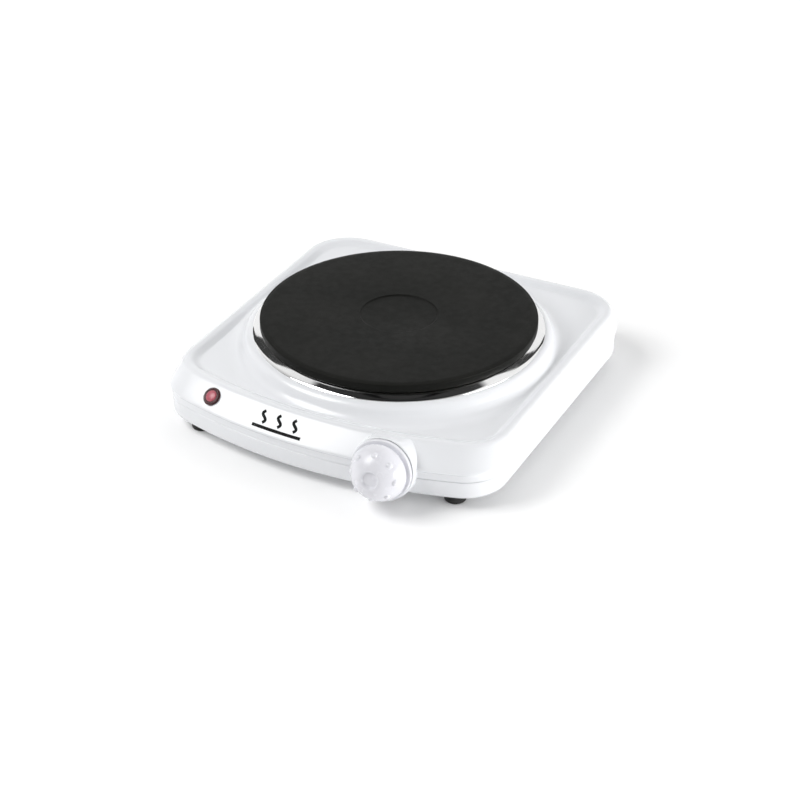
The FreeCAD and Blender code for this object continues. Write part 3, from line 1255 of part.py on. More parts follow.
tube("lamp_lead_switched", [
    at_lamp(0, -25.2), at_lamp(0, -30), plan(-0.584, -0.930, run_z), plan(-0.303, -0.930, run_z - 0.4),
    plan(0.000, -0.973, run_z), plan(0.184, -1.005, run_z + 2.2), at_stat(-21, -1, stat_sleeve_low + 4),
    at_stat(-12, 0, stat_sleeve_low + 4)], thin)

# ---------------------------------------------------------------- checks and export

doc.recompute()
failed = [thing.Name for thing in doc.Objects if {"Invalid", "Error"} & set(thing.State)]
if failed:
    raise RuntimeError(f"objects that failed: {failed}")
for name, thing in nodes.items():
    if thing.Shape.isNull() or not thing.Shape.isValid() or not thing.Shape.Solids:
        raise RuntimeError(f"{name} has no valid solid")

os.makedirs("parts", exist_ok=True)
for name, thing in nodes.items():
    thing.Shape.exportStep(os.path.join("parts", name + ".step"))
whole = Part.makeCompound([thing.Shape for thing in nodes.values()])
box = whole.BoundBox
print(f"{len(nodes)} pieces, {box.XLength:.1f} x {box.YLength:.1f} x {box.ZLength:.1f} mm")
print(f"x {box.XMin:.2f} {box.XMax:.2f}  y {box.YMin:.2f} {box.YMax:.2f}  z {box.ZMin:.2f} {box.ZMax:.2f}")
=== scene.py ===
import json
import math

import bmesh
import bpy
from mathutils import Matrix, Vector


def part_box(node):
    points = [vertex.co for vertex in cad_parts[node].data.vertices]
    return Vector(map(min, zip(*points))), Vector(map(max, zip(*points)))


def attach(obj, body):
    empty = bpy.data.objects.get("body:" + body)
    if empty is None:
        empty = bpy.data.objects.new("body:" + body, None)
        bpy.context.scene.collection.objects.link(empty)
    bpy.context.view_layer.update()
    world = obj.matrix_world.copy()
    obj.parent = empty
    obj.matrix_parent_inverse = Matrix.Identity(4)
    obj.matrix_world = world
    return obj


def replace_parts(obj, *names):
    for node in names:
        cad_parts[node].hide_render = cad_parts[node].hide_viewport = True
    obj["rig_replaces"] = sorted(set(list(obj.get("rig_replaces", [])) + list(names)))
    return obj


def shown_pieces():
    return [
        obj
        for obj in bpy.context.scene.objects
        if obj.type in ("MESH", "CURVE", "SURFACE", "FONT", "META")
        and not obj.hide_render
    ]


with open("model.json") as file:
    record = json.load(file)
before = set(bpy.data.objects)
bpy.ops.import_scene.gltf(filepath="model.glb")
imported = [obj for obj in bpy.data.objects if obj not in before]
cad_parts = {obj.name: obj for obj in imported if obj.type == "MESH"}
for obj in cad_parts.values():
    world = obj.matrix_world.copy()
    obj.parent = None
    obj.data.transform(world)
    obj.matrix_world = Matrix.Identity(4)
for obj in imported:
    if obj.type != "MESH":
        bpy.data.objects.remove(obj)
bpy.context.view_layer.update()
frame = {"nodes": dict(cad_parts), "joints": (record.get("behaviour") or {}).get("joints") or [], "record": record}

# Every shape is drawn in millimetres with the hotplate's axis at X = Y = 0 and Z up from the floor,
# as the CAD is, then moved to the frame: MM scales it and AXIS is where the hotplate's axis stands.
MM = 0.001
plate_low, plate_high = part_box("hotplate_disc")
AXIS = Vector(((plate_low.x + plate_high.x) / 2, (plate_low.y + plate_high.y) / 2, 0))
PLATE_TOP = plate_high.z / MM
TO_FRAME = Matrix.Translation(AXIS) @ Matrix.Scale(MM, 4)
BODY = "base"
CONTROL = "control"

# ------------------------------------------------------------------ materials

TURNING_PITCH = 0.9
POLISH_PITCH = 0.35


class Finish:
    """A procedural material around one Principled shader, in object coordinates in millimetres."""

    def __init__(self, name, **constants):
        self.material = bpy.data.materials.new(name)
        self.material.use_nodes = True
        self.tree = self.material.node_tree
        self.shader = self.tree.nodes["Principled BSDF"]
        for socket, value in constants.items():
            self.shader.inputs[socket.replace("_", " ")].default_value = value
        coordinates = self.tree.nodes.new("ShaderNodeTexCoord")
        scale = self.tree.nodes.new("ShaderNodeMapping")
        scale.inputs["Scale"].default_value = (1 / MM, 1 / MM, 1 / MM)
        self.link(coordinates.outputs["Object"], scale.inputs["Vector"])
        self.mm = scale.outputs["Vector"]
        self.last_bump = None

    def link(self, output, socket):
        self.tree.links.new(output, socket)

    def math(self, operation, a, b=None):
        node = self.tree.nodes.new("ShaderNodeMath")
        node.operation = operation
        for index, value in enumerate((a, b)):
            if value is None:
                continue
            if isinstance(value, (int, float)):
                node.inputs[index].default_value = value
            else:
                self.link(value, node.inputs[index])
        return node.outputs[0]

    def noise(self, period, detail=3.0, stretch=(1, 1, 1)):
        """Noise whose features are about period millimetres across."""
        move = self.tree.nodes.new("ShaderNodeMapping")
        move.inputs["Scale"].default_value = [s / period for s in stretch]
        self.link(self.mm, move.inputs["Vector"])
        node = self.tree.nodes.new("ShaderNodeTexNoise")
        node.inputs["Scale"].default_value = 1
        node.inputs["Detail"].default_value = detail
        node.inputs["Roughness"].default_value = 0.5
        self.link(move.outputs["Vector"], node.inputs["Vector"])
        return node.outputs["Fac"]

    def between(self, factor, low, high, start=0.3, end=0.7):
        """A number that follows a factor from low to high."""
        node = self.tree.nodes.new("ShaderNodeMapRange")
        for socket, value in (("From Min", start), ("From Max", end), ("To Min", low), ("To Max", high)):
            node.inputs[socket].default_value = value
        self.link(factor, node.inputs["Value"])
        return node.outputs["Result"]

    def blend(self, factor, first, second):
        """A colour between two colours."""
        node = self.tree.nodes.new("ShaderNodeMix")
        node.data_type = "RGBA"
        for socket, value in (("A", first), ("B", second)):
            target = [s for s in node.inputs if s.name == socket and s.type == "RGBA"][0]
            if isinstance(value, tuple):
                target.default_value = (*value, 1)
            else:
                self.link(value, target)
        self.link(factor, node.inputs["Factor"])
        return [s for s in node.outputs if s.type == "RGBA"][0]

    def colour(self, output):
        self.link(output, self.shader.inputs["Base Color"])

    def roughness(self, output):
        self.link(output, self.shader.inputs["Roughness"])

    def bump(self, height, depth):
        """Relief of a depth in millimetres, on top of any relief before it."""
        node = self.tree.nodes.new("ShaderNodeBump")
        node.inputs["Strength"].default_value = 1.0
        node.inputs["Distance"].default_value = depth * MM
        self.link(height, node.inputs["Height"])
        if self.last_bump is not None:
            self.link(self.last_bump, node.inputs["Normal"])
        self.last_bump = node.outputs["Normal"]
        self.link(self.last_bump, self.shader.inputs["Normal"])

    def offset_length(self, centre):
        """Distance from an upright line through a point, in millimetres."""
        move = self.tree.nodes.new("ShaderNodeMapping")
        move.inputs["Location"].default_value = (-centre[0], -centre[1], 0)
        move.inputs["Scale"].default_value = (1, 1, 0)
        self.link(self.mm, move.inputs["Vector"])
        length = self.tree.nodes.new("ShaderNodeVectorMath")
        length.operation = "LENGTH"
        self.link(move.outputs["Vector"], length.inputs[0])
        return length.outputs["Value"]


def plain(name, first, second, period, roughness, relief, **constants):
    """Colour drift, roughness drift and fine relief: the base of most finishes here."""
    made = Finish(name, **constants)
    drift = made.noise(period, detail=4)
    made.colour(made.blend(made.between(drift, 0, 1), first, second))
    made.roughness(made.between(made.noise(period * 0.4, detail=5), *roughness))
    made.bump(made.noise(relief[0], detail=3), relief[1])
    return made


def enamel(name):
    made = plain(name, (0.812, 0.825, 0.848), (0.822, 0.833, 0.855), 60, (0.245, 0.265),
                 (1.6, 0.003), Coat_Weight=0.2, Coat_Roughness=0.12, IOR=1.5)
    made.bump(made.noise(14, detail=1), 0.006)
    return made.material


def cast_iron():
    made = Finish("black_iron", IOR=1.45, Specular_IOR_Level=0.08)
    radius = made.offset_length((AXIS.x / MM, AXIS.y / MM))
    rings = made.math("SINE", made.math("MULTIPLY", radius, 2 * math.pi / TURNING_PITCH))
    waver = made.noise(5, detail=3)
    fine = made.noise(0.55, detail=4)
    broad = made.noise(45, detail=3)
    tone = made.math("ADD", made.math("MULTIPLY", broad, 0.6), made.math("MULTIPLY", fine, 0.4))
    # The turning rings also shift the iron's colour in bands: painted sheen laid over the real turning marks,
    # which the roughness and relief below carry.
    tone_and_ring_sheen = made.math("ADD", tone, made.math("MULTIPLY", rings, 0.10))
    made.colour(made.blend(made.between(tone_and_ring_sheen, 0, 1, 0.35, 0.65), (0.0065, 0.007, 0.006),
                           (0.0125, 0.0125, 0.011)))
    made.roughness(made.between(made.math("ADD", waver, made.math("MULTIPLY", rings, 0.12)), 0.40, 0.52))
    made.bump(rings, 0.012)
    made.bump(fine, 0.05)
    return made.material


def bright_steel():
    made = Finish("polished_ring", Metallic=1.0)
    radius = made.offset_length((AXIS.x / MM, AXIS.y / MM))
    lines = made.noise(20, detail=2)
    made.colour(made.blend(made.between(lines, 0, 1), (0.88, 0.88, 0.88), (0.93, 0.93, 0.925)))
    spin = made.math("SINE", made.math("MULTIPLY", radius, 2 * math.pi / POLISH_PITCH))
    haze = made.math("ADD", made.noise(9, detail=4), made.math("MULTIPLY", spin, 0.1))
    made.roughness(made.between(haze, 0.04, 0.10))
    made.bump(made.noise(11, detail=1), 0.01)
    return made.material


def metal(name, first, second, roughness, period=3.0, stretch=(1, 1, 1)):
    made = Finish(name, Metallic=1.0)
    drift = made.noise(period, detail=4, stretch=stretch)
    made.colour(made.blend(made.between(drift, 0, 1), first, second))
    made.roughness(made.between(made.noise(period * 0.5, detail=5, stretch=stretch), *roughness))
    made.bump(made.noise(period * 0.2, detail=2, stretch=stretch), 0.01)
    return made.material


def lens(name, first, second):
    return plain(name, first, second, 2.0, (0.25, 0.35), (0.8, 0.02), IOR=1.45, Coat_Weight=0.1,
                 Coat_Roughness=0.05).material


def white_plastic():
    return plain("knob_plastic", (0.74, 0.74, 0.785), (0.78, 0.78, 0.82), 12, (0.20, 0.30), (0.7, 0.010),
                 IOR=1.5, Coat_Weight=0.15, Coat_Roughness=0.12).material


FINISHES = {
    "white_enamel": enamel("stoved_enamel"),
    "cast_iron": cast_iron(),
    "bright_ring": bright_steel(),
    "white_plastic": white_plastic(),
    "red_lens": lens("lamp_rim_red", (0.030, 0.001, 0.003), (0.05, 0.003, 0.005)),
    "black_rubber": plain("foot_rubber", (0.010, 0.010, 0.010), (0.018, 0.017, 0.016), 3,
                          (0.55, 0.75), (0.5, 0.06)).material,
    "black_plastic": plain("gland_nylon", (0.016, 0.016, 0.017), (0.026, 0.026, 0.027), 4,
                           (0.38, 0.52), (0.5, 0.03)).material,
    "zinc_steel": metal("zinc_plate", (0.52, 0.53, 0.55), (0.62, 0.63, 0.64), (0.28, 0.42)),
    "spring_steel": metal("spring_steel", (0.32, 0.33, 0.35), (0.42, 0.43, 0.45), (0.25, 0.38)),
    "shield_alloy": metal("shield_alloy", (0.72, 0.73, 0.74), (0.80, 0.80, 0.81), (0.30, 0.45), 8),
    "brass": metal("yellow_brass", (0.60, 0.43, 0.17), (0.72, 0.54, 0.24), (0.22, 0.36)),
    "steatite": plain("steatite", (0.70, 0.67, 0.60), (0.78, 0.76, 0.69), 5, (0.60, 0.78),
                      (0.6, 0.05)).material,
    "heater_cement": plain("heater_cement", (0.42, 0.40, 0.36), (0.52, 0.50, 0.46), 7, (0.8, 0.95),
                           (0.8, 0.15)).material,
    "heater_wire": metal("heater_wire", (0.14, 0.12, 0.11), (0.22, 0.19, 0.17), (0.45, 0.62), 1.5),
    "neon_glass": plain("lamp_glass", (0.80, 0.62, 0.52), (0.88, 0.72, 0.62), 3, (0.03, 0.08),
                        (1, 0.005), Transmission_Weight=0.9, IOR=1.5).material,
    "clear_sleeve": plain("sleeve", (0.66, 0.65, 0.61), (0.74, 0.73, 0.70), 3, (0.35, 0.5),
                          (0.6, 0.02)).material,
}
for colour, first, second in (
        ("brown", (0.10, 0.035, 0.015), (0.14, 0.05, 0.022)),
        ("black", (0.012, 0.012, 0.012), (0.02, 0.02, 0.02)),
        ("blue", (0.02, 0.06, 0.26), (0.03, 0.08, 0.32)),
        ("green", (0.06, 0.20, 0.03), (0.09, 0.26, 0.04)),
        ("grey", (0.22, 0.22, 0.23), (0.28, 0.28, 0.29))):
    FINISHES[f"lead_{colour}"] = plain(f"insulation_{colour}", first, second, 6, (0.42, 0.58),
                                       (0.5, 0.02)).material
# A lighter pink copy of the red lens material for the dome's middle: painted light on the dome.
painted_lit_centre = lens("lamp_centre_painted_lit", (0.40, 0.07, 0.10), (0.50, 0.14, 0.17))
mark_ink = plain("black_ink", (0.004, 0.004, 0.004), (0.008, 0.008, 0.008), 3, (0.5, 0.6), (0.5, 0.01),
                 Specular_IOR_Level=0.1).material

# ------------------------------------------------------------------ mesh helpers

SHARP_DEGREES = 38
WELD = 1e-4


def piece(name, vertices, faces, slot, body, nodes, place=Matrix.Identity(4)):
    """A finished object from millimetre vertices: smooth shaded, in the frame, riding on its body."""
    mesh = bpy.data.meshes.new(name)
    mesh.from_pydata([tuple(v) for v in vertices], [], faces)
    edit = bmesh.new()
    edit.from_mesh(mesh)
    bmesh.ops.remove_doubles(edit, verts=edit.verts, dist=WELD)
    bmesh.ops.dissolve_degenerate(edit, edges=edit.edges, dist=WELD)
    bmesh.ops.recalc_face_normals(edit, faces=edit.faces)
    edit.to_mesh(mesh)
    edit.free()
    mesh.transform(TO_FRAME @ place)
    mesh.shade_smooth()
    mesh.set_sharp_from_angle(angle=math.radians(SHARP_DEGREES))
    thing = bpy.data.objects.new(name, mesh)
    bpy.context.scene.collection.objects.link(thing)
    mesh.materials.append(FINISHES[slot])
    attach(thing, body)
    if nodes:
        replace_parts(thing, *nodes)
    return thing


def rounded(points, cuts, steps=5):
    """A polyline whose corners are eased: cuts says how far back from each corner the curve starts."""
    made = []
    last = len(points) - 1
    for index, (corner, cut) in enumerate(zip(points, cuts)):
        if cut == 0 or index in (0, last):
            made.append(corner.copy())
            continue
        before, after = points[index - 1] - corner, points[index + 1] - corner
        start = corner + before.normalized() * min(cut, before.length * 0.48)
        end = corner + after.normalized() * min(cut, after.length * 0.48)
        for step in range(steps + 1):
            t = step / steps
            made.append(start * (1 - t) ** 2 + corner * 2 * t * (1 - t) + end * t * t)
    return made


def loop_faces(columns, rows):
    """Quads of a skin of columns by rows that closes on itself both ways."""
    faces = []
    for i in range(columns):
        following = (i + 1) % columns
        for j in range(rows):
            upper = (j + 1) % rows
            faces.append((i * rows + j, following * rows + j,
                          following * rows + upper, i * rows + upper))
    return faces


def turned(name, profile, cuts, slot, body, nodes, place=Matrix.Identity(4), segments=256, shape=None):
    """A solid of revolution from a closed profile of (radius, height), eased at its corners."""
    corners = [Vector((r, z, 0)) for r, z in profile]
    ends = [corners[-1], *corners, corners[0]]
    line = rounded(ends, [0, *cuts, 0], steps=4)[1:-1]
    vertices = []
    for i in range(segments):
        angle = 2 * math.pi * i / segments
        for p in line:
            point = Vector((max(p.x, 0) * math.cos(angle), max(p.x, 0) * math.sin(angle), p.y))
            vertices.append(point if shape is None else shape(point))
    return piece(name, vertices, loop_faces(segments, len(line)), slot, body, nodes, place)


# ------------------------------------------------------------------ outlines of the body

HOUSING_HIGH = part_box("top_housing")[1]
TRAY_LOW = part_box("base_tray")[0]
WALL = 1.2
LEDGE_Z = 27.5
CREST_Z = 40.0
PAN_Z = 36.8
PARTING_Z = 20.5
COLLAR_Z = 47.3
TRAY_Z = TRAY_LOW.z / MM


class Outline:
    """Straight sides and back, rounded corners and a bowed front, in points that pair up by index."""

    COUNTS = (20, 22, 24, 22, 20, 24, 72, 24)

    def __init__(self, half, back, bow, bow_centre, near, far):
        self.values = (half, back, bow, bow_centre, near, far)

    def inset(self, gap):
        half, back, bow, bow_centre, near, far = self.values
        return Outline(half - gap, back - gap, bow - gap, bow_centre, near - gap, far - gap)

    def points(self):
        half, back, bow, bow_centre, near, far = self.values
        corner_x = half - near
        reach = bow - near
        corner_y = bow_centre - math.sqrt(reach**2 - corner_x**2)
        touch = Vector((corner_x, corner_y - bow_centre)) * (bow / reach) + Vector((0, bow_centre))
        swing = math.atan2(touch.x, bow_centre - touch.y)
        runs = [
            ("line", Vector((half, corner_y)), Vector((half, back - far))),
            ("arc", Vector((half - far, back - far)), far, 0, 90),
            ("line", Vector((half - far, back)), Vector((far - half, back))),
            ("arc", Vector((far - half, back - far)), far, 90, 180),
            ("line", Vector((-half, back - far)), Vector((-half, corner_y))),
            ("arc", Vector((-corner_x, corner_y)), near, 180, 270 - math.degrees(swing)),
            ("arc", Vector((0, bow_centre)), bow, 270 - math.degrees(swing), 270 + math.degrees(swing)),
            ("arc", Vector((corner_x, corner_y)), near, 270 + math.degrees(swing), 360),
        ]
        made = []
        for count, run in zip(self.COUNTS, runs):
            for step in range(count):
                share = step / count
                if run[0] == "line":
                    made.append(run[1].lerp(run[2], share))
                else:
                    angle = math.radians(run[3] + (run[4] - run[3]) * share)
                    made.append(run[1] + Vector((math.cos(angle), math.sin(angle))) * run[2])
        return made

    def front_at(self, x):
        _, _, bow, bow_centre, _, _ = self.values
        return bow_centre - math.sqrt(bow**2 - x**2)


BOW = 334.0
ledge_half = HOUSING_HIGH.x / MM
ledge_back = (HOUSING_HIGH.y - AXIS.y) / MM
LEDGE_FRONT = 131.1
FACIA_RUN = 14.2
CREST_IN_SIDE = 4.2
CREST_IN_BACK = 2.4
ledge_line = Outline(ledge_half, ledge_back, BOW, BOW - LEDGE_FRONT, 31.0, 34.0)
crest_line = Outline(ledge_half - CREST_IN_SIDE, ledge_back - CREST_IN_BACK, BOW,
                     BOW - LEDGE_FRONT + FACIA_RUN, 28.0, 31.0)
skirt_line = ledge_line.inset(1.0)
RIM_LAND = 4.6
RIM_SLOPE = 5.0

# ------------------------------------------------------------------ top housing

COLLAR_HOLE = 91.4
COLLAR_LAND = 97.3
SHOULDER = 103.4
COLLAR_FOOT = 112.0
SHOULDER_Z = COLLAR_Z - 5.4


def arc_height(x, x0, z0, x1, z1, bulge, side):
    """Height at x on an arc through two points whose radius is bulge chords long."""
    chord = Vector((x1 - x0, z1 - z0))
    radius = chord.length * bulge
    middle = Vector(((x0 + x1) / 2, (z0 + z1) / 2))
    normal = Vector((-chord.y, chord.x)).normalized() * side
    centre = middle + normal * math.sqrt(radius**2 - (chord.length / 2) ** 2)
    return centre.y - side * math.sqrt(max(radius**2 - (x - centre.x) ** 2, 0))


def collar_height(r):
    if r <= COLLAR_LAND:
        return COLLAR_Z
    if r <= SHOULDER:
        return arc_height(r, COLLAR_LAND, COLLAR_Z, SHOULDER, SHOULDER_Z, 0.86, -1)
    if r <= COLLAR_FOOT:
        return arc_height(r, SHOULDER, SHOULDER_Z, COLLAR_FOOT, PAN_Z, 1.15, 1)
    return PAN_Z - (r - COLLAR_FOOT)


def soft_max(a, b, ease=1.2):
    overlap = max(ease - abs(a - b), 0) / ease
    return max(a, b) + overlap * overlap * ease / 4


# Where the skin has a point between the collar's foot and its hole, closest at the two bends.
RING_RADII = (112, 110.4, 108.8, 107.2, 105.8, 104.8, 104.1, 103.4, 102.7, 101.9, 101.0, 100.1,
              99.2, 98.4, 97.9, 97.5, 97.0, 94.5, 92.2)
OUTER_STEPS = 7
HOLE_EASE = 0.5


def housing_chain(gap):
    """Points of one skin from the skirt's edge to the collar's hole, for each index round the body."""
    chains = []
    outlines = [skirt_line.inset(gap), skirt_line.inset(gap), ledge_line.inset(gap),
                ledge_line.inset(gap), crest_line.inset(gap), crest_line.inset(gap + RIM_LAND),
                crest_line.inset(gap + RIM_LAND + RIM_SLOPE)]
    if gap:
        outlines[5] = crest_line.inset(RIM_LAND)
        outlines[6] = crest_line.inset(RIM_LAND + RIM_SLOPE)
    heights = [PARTING_Z + 0.4, LEDGE_Z - 1.9, LEDGE_Z - 1.1 - gap / 2, LEDGE_Z - gap / 2,
               CREST_Z - gap, CREST_Z - gap, PAN_Z - gap]
    cuts = [0, 0.5, 0.5, 0.9, 2.4, 2.2, 2.6]
    loops = [outline.points() for outline in outlines]
    for index in range(len(loops[0])):
        corners = [Vector((*loop[index], z)) for loop, z in zip(loops, heights)]
        pan = corners[-1]
        angle = math.atan2(pan.y, pan.x)
        reach = math.hypot(pan.x, pan.y)
        squeeze = min(1, (reach - 0.9 - COLLAR_HOLE) / (COLLAR_FOOT - COLLAR_HOLE))
        radii = [COLLAR_HOLE + (r - COLLAR_HOLE) * squeeze for r in RING_RADII]
        run = [reach + (radii[0] - reach) * (k + 1) / (OUTER_STEPS + 1)
               for k in range(OUTER_STEPS)] + radii
        inner = [Vector((r * math.cos(angle), r * math.sin(angle), PAN_Z - gap)) for r in run]
        line = rounded(corners + inner[:1], [*cuts, 0])[:-1] + inner
        raised = []
        for point in line:
            r = math.hypot(point.x, point.y)
            if point.z > LEDGE_Z + 2:
                point.z = soft_max(point.z, collar_height(r) - gap)
            raised.append(point)
        edge = Vector((COLLAR_HOLE * math.cos(angle), COLLAR_HOLE * math.sin(angle), COLLAR_Z - gap))
        if not gap:
            raised.append(Vector(((COLLAR_HOLE + HOLE_EASE) * math.cos(angle),
                                  (COLLAR_HOLE + HOLE_EASE) * math.sin(angle), COLLAR_Z)))
            edge.z -= HOLE_EASE
        chains.append(raised + [edge])
    return chains


outer, inner = housing_chain(0.0), housing_chain(WALL)
rows = len(outer[0]) + len(inner[0])
vertices = [point for a, b in zip(outer, inner) for point in [*a, *reversed(b)]]
piece("housing_shell", vertices, loop_faces(len(outer), rows), "white_enamel", BODY, ["top_housing"])

# ------------------------------------------------------------------ knob boss

joint = frame["joints"][0]
knob_centre = (Vector(joint["pos_m"]) - AXIS) / MM
outward = -Vector(joint["axis"]).normalized()
side_way = Vector((0, 0, 1)).cross(outward).normalized()
up_way = outward.cross(side_way)
KNOB_PLACE = Matrix.Translation(knob_centre) @ Matrix((side_way, up_way, outward)).transposed().to_4x4()

BOSS_RADIUS = 20.7
BOSS_LOW = 7.2
BOSS_SEGMENTS = 160
BOSS_BORE = 14
BOSS_RISE = 4.2
BOSS_FALL = BOSS_RISE / 9.8
BOSS_LIP = 6.6
BOSS_EDGE = 1.4
BOSS_STEP = 0.75
BOSS_DEPTH = 21.65


def boss_point(radius, angle, depth):
    """A point of the boss, kept above its underside and below its sloping top."""
    point = KNOB_PLACE @ Vector((radius * math.cos(angle), radius * math.sin(angle), depth))
    slope_start = knob_centre.y + BOSS_LIP
    ceiling = CREST_Z + BOSS_RISE - max(point.y - slope_start, -9) * BOSS_FALL
    point.z = -soft_max(-point.z, -ceiling, 1.6)
    point.z = soft_max(point.z, BOSS_LOW, 1.0)
    return point


boss_line = [(BOSS_BORE, -2.2), (BOSS_RADIUS - 2.2, -2.2), (BOSS_RADIUS - 1.6, -0.9),
             (BOSS_RADIUS - 1.3, -0.25), (BOSS_RADIUS - 0.9, 0), (BOSS_RADIUS - 0.45, -0.2),
             (BOSS_RADIUS - 0.12, -0.7), (BOSS_RADIUS, -BOSS_EDGE)]
boss_line += [(BOSS_RADIUS, -BOSS_EDGE - BOSS_STEP * k) for k in range(1, 28)]
boss_line += [(BOSS_RADIUS - 1.2, -BOSS_DEPTH), (BOSS_BORE, -BOSS_DEPTH)]
vertices = [boss_point(r, 2 * math.pi * i / BOSS_SEGMENTS, depth)
            for i in range(BOSS_SEGMENTS) for r, depth in boss_line]
piece("knob_boss", vertices, loop_faces(BOSS_SEGMENTS, len(boss_line)), "white_enamel", BODY, [])

# ------------------------------------------------------------------ base tray

TRAY_ROUND = [(5.2, 0.0), (3.4, 0.35), (2.1, 0.95), (1.1, 1.8), (0.45, 2.8), (0.12, 3.9), (0.0, 5.0)]


def tray_chain(gap):
    levels = [(skirt_line.inset(inward + gap), TRAY_Z + gap + rise) for inward, rise in TRAY_ROUND]
    levels.append((skirt_line.inset(gap), PARTING_Z - (0 if gap else 0.4)))
    if not gap:
        levels.append((skirt_line.inset(0.4), PARTING_Z))
    loops = [(outline.points(), z) for outline, z in levels]
    return [[Vector((*loop[index], z)) for loop, z in loops] for index in range(len(loops[0][0]))]


outside, inside = tray_chain(0.0), tray_chain(WALL)
lip = skirt_line.inset(WALL + 0.3).points(), skirt_line.inset(2 * WALL + 0.3).points()
TRAY_LIP_Z = PARTING_Z + 4
vertices = []
for index, (a, b) in enumerate(zip(outside, inside)):
    rise = [Vector((*lip[0][index], PARTING_Z)), Vector((*lip[0][index], TRAY_LIP_Z)),
            Vector((*lip[1][index], TRAY_LIP_Z)), Vector((*lip[1][index], PARTING_Z - 2))]
    vertices += [*a, *rise, *reversed(b[:-1])]
tray_rows = len(vertices) // len(outside)
tray_faces = loop_faces(len(outside), tray_rows)

VENT_COLUMNS = 9
VENT_PITCH = 11.0
VENT_ROWS = (-54.0, -2.0, 50.0)
VENT_RADIUS = 2.3
VENT_HALF = 14.7
FOOT_HOLE = 2.2

# Its floor: the outline with the vent slots and the foot screws' holes cut out of it.
floor_curve = bpy.data.curves.new("tray_floor", "CURVE")
floor_curve.dimensions = "2D"
floor_curve.fill_mode = "BOTH"
floor_curve.extrude = WALL / 2


def add_loop(points):
    spline = floor_curve.splines.new("POLY")
    spline.points.add(len(points) - 1)
    for place, p in zip(spline.points, points):
        place.co = (p[0], p[1], 0, 1)
    spline.use_cyclic_u = True


def ring_of(x, y, radius, count=32, stretch=0.0):
    """Points of a circle, or of a slot with round ends along Y where stretch says how long."""
    made = []
    for k in range(count):
        angle = 2 * math.pi * k / count
        made.append((x + radius * math.cos(angle),
                     y + radius * math.sin(angle) + math.copysign(stretch, math.sin(angle) + 1e-9)))
    return made


FEET = {name: [(c / MM) for c in ((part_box(name)[0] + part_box(name)[1]) / 2 - AXIS)]
        for name in ("foot_front_left", "foot_front_right", "foot_back_left", "foot_back_right")}
add_loop(skirt_line.inset(TRAY_ROUND[0][0] - 0.02).points())
for column in range(VENT_COLUMNS):
    for y in VENT_ROWS:
        add_loop(ring_of(VENT_PITCH * (column - VENT_COLUMNS // 2), y, VENT_RADIUS, 24, VENT_HALF))
for x, y, _ in FEET.values():
    add_loop(ring_of(x, y, FOOT_HOLE))
floor_object = bpy.data.objects.new("tray_floor", floor_curve)
bpy.context.scene.collection.objects.link(floor_object)
bpy.context.view_layer.update()
floor_mesh = bpy.data.meshes.new_from_object(floor_object)
base_index = len(vertices)
vertices += [v.co + Vector((0, 0, TRAY_Z + WALL / 2)) for v in floor_mesh.vertices]
tray_faces += [tuple(base_index + k for k in polygon.vertices) for polygon in floor_mesh.polygons]
bpy.data.objects.remove(floor_object)
bpy.data.meshes.remove(floor_mesh)
piece("tray_shell", vertices, tray_faces, "white_enamel", BODY, ["base_tray"])

# ------------------------------------------------------------------ hotplate and spill ring

PLATE = 92.5
HEATER_ROOF = PLATE_TOP - 6.4
RIM_LOW = PLATE_TOP - 5.8
CASTING_LOW = PLATE_TOP - 16
disc_profile = [
    (0, HEATER_ROOF - 7), (0, PLATE_TOP - 0.7), (25.4, PLATE_TOP - 0.7), (25.9, PLATE_TOP),
    (PLATE - 4.2, PLATE_TOP), (PLATE - 3.0, PLATE_TOP - 0.05), (PLATE, PLATE_TOP - 0.55),
    (PLATE, RIM_LOW),
    (88.4, RIM_LOW), (88.4, CASTING_LOW), (82.4, CASTING_LOW), (81.4, HEATER_ROOF), (23.0, HEATER_ROOF),
    (22.0, CASTING_LOW), (3.05, CASTING_LOW), (3.05, HEATER_ROOF - 7)]
disc_cuts = [0, 0, 0.25, 0.35, 0.3, 0.5, 0.8, 0.7, 0.4, 0.5, 0.5, 0.5, 0.5, 0.5, 0.3, 0]
turned("hotplate", disc_profile, disc_cuts, "cast_iron", BODY, ["hotplate_disc"])

ring_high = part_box("spill_ring")[1]
RING_TOP = ring_high.z / MM
RING_OUT = ring_high.x / MM
RING_IN = 88.7
LAND_Z = COLLAR_Z
ring_profile = [
    (RING_IN, RING_TOP - 5), (RING_IN + 0.6, RING_TOP - 5), (RING_IN + 0.6, RING_TOP - 0.6),
    (RING_IN + 2.3, RING_TOP - 0.6), (RING_OUT - 1.9, RING_TOP - 2.6), (RING_OUT - 1.0, LAND_Z + 0.2),
    (RING_OUT - 0.8, LAND_Z), (RING_OUT, LAND_Z), (RING_OUT - 0.05, LAND_Z + 0.4),
    (RING_OUT - 1.0, RING_TOP - 2.4), (RING_IN + 2.6, RING_TOP), (RING_IN, RING_TOP)]
ring_cuts = [0, 0, 0.3, 1.0, 0.8, 0.2, 0.1, 0.1, 0.3, 1.2, 1.0, 0.3]
turned("bright_ring", ring_profile, ring_cuts, "bright_ring", BODY, ["spill_ring"])

# ------------------------------------------------------------------ knob

KNOB_GAP = 0.8
FLANGE = 20.0
GROOVE = 16.8
DOME = 18.2
CAP = 7.2
CAP_RECESS = 5.6
KNOB_LENGTH = 20.6
RECESS_FLOOR = KNOB_LENGTH - 1.6
INSIDE_TOP = RECESS_FLOOR - 2.0
FLANGE_TOP = KNOB_GAP + 3.0
GROOVE_TOP = FLANGE_TOP + 1.5
DOME_LOW = GROOVE_TOP + 2.2
PIPS = 8
dome_run, dome_rise = DOME - CAP, KNOB_LENGTH - DOME_LOW
DOME_BEND = 1.04
DOME_STEPS = 44
PIP_PLACE = 0.535
PIP_SIZE = 1.9
PIP_LIFT = 1.15
dome_chord = math.hypot(dome_run, dome_rise)
dome_centre_depth = dome_chord * math.sqrt(DOME_BEND**2 - 0.25)


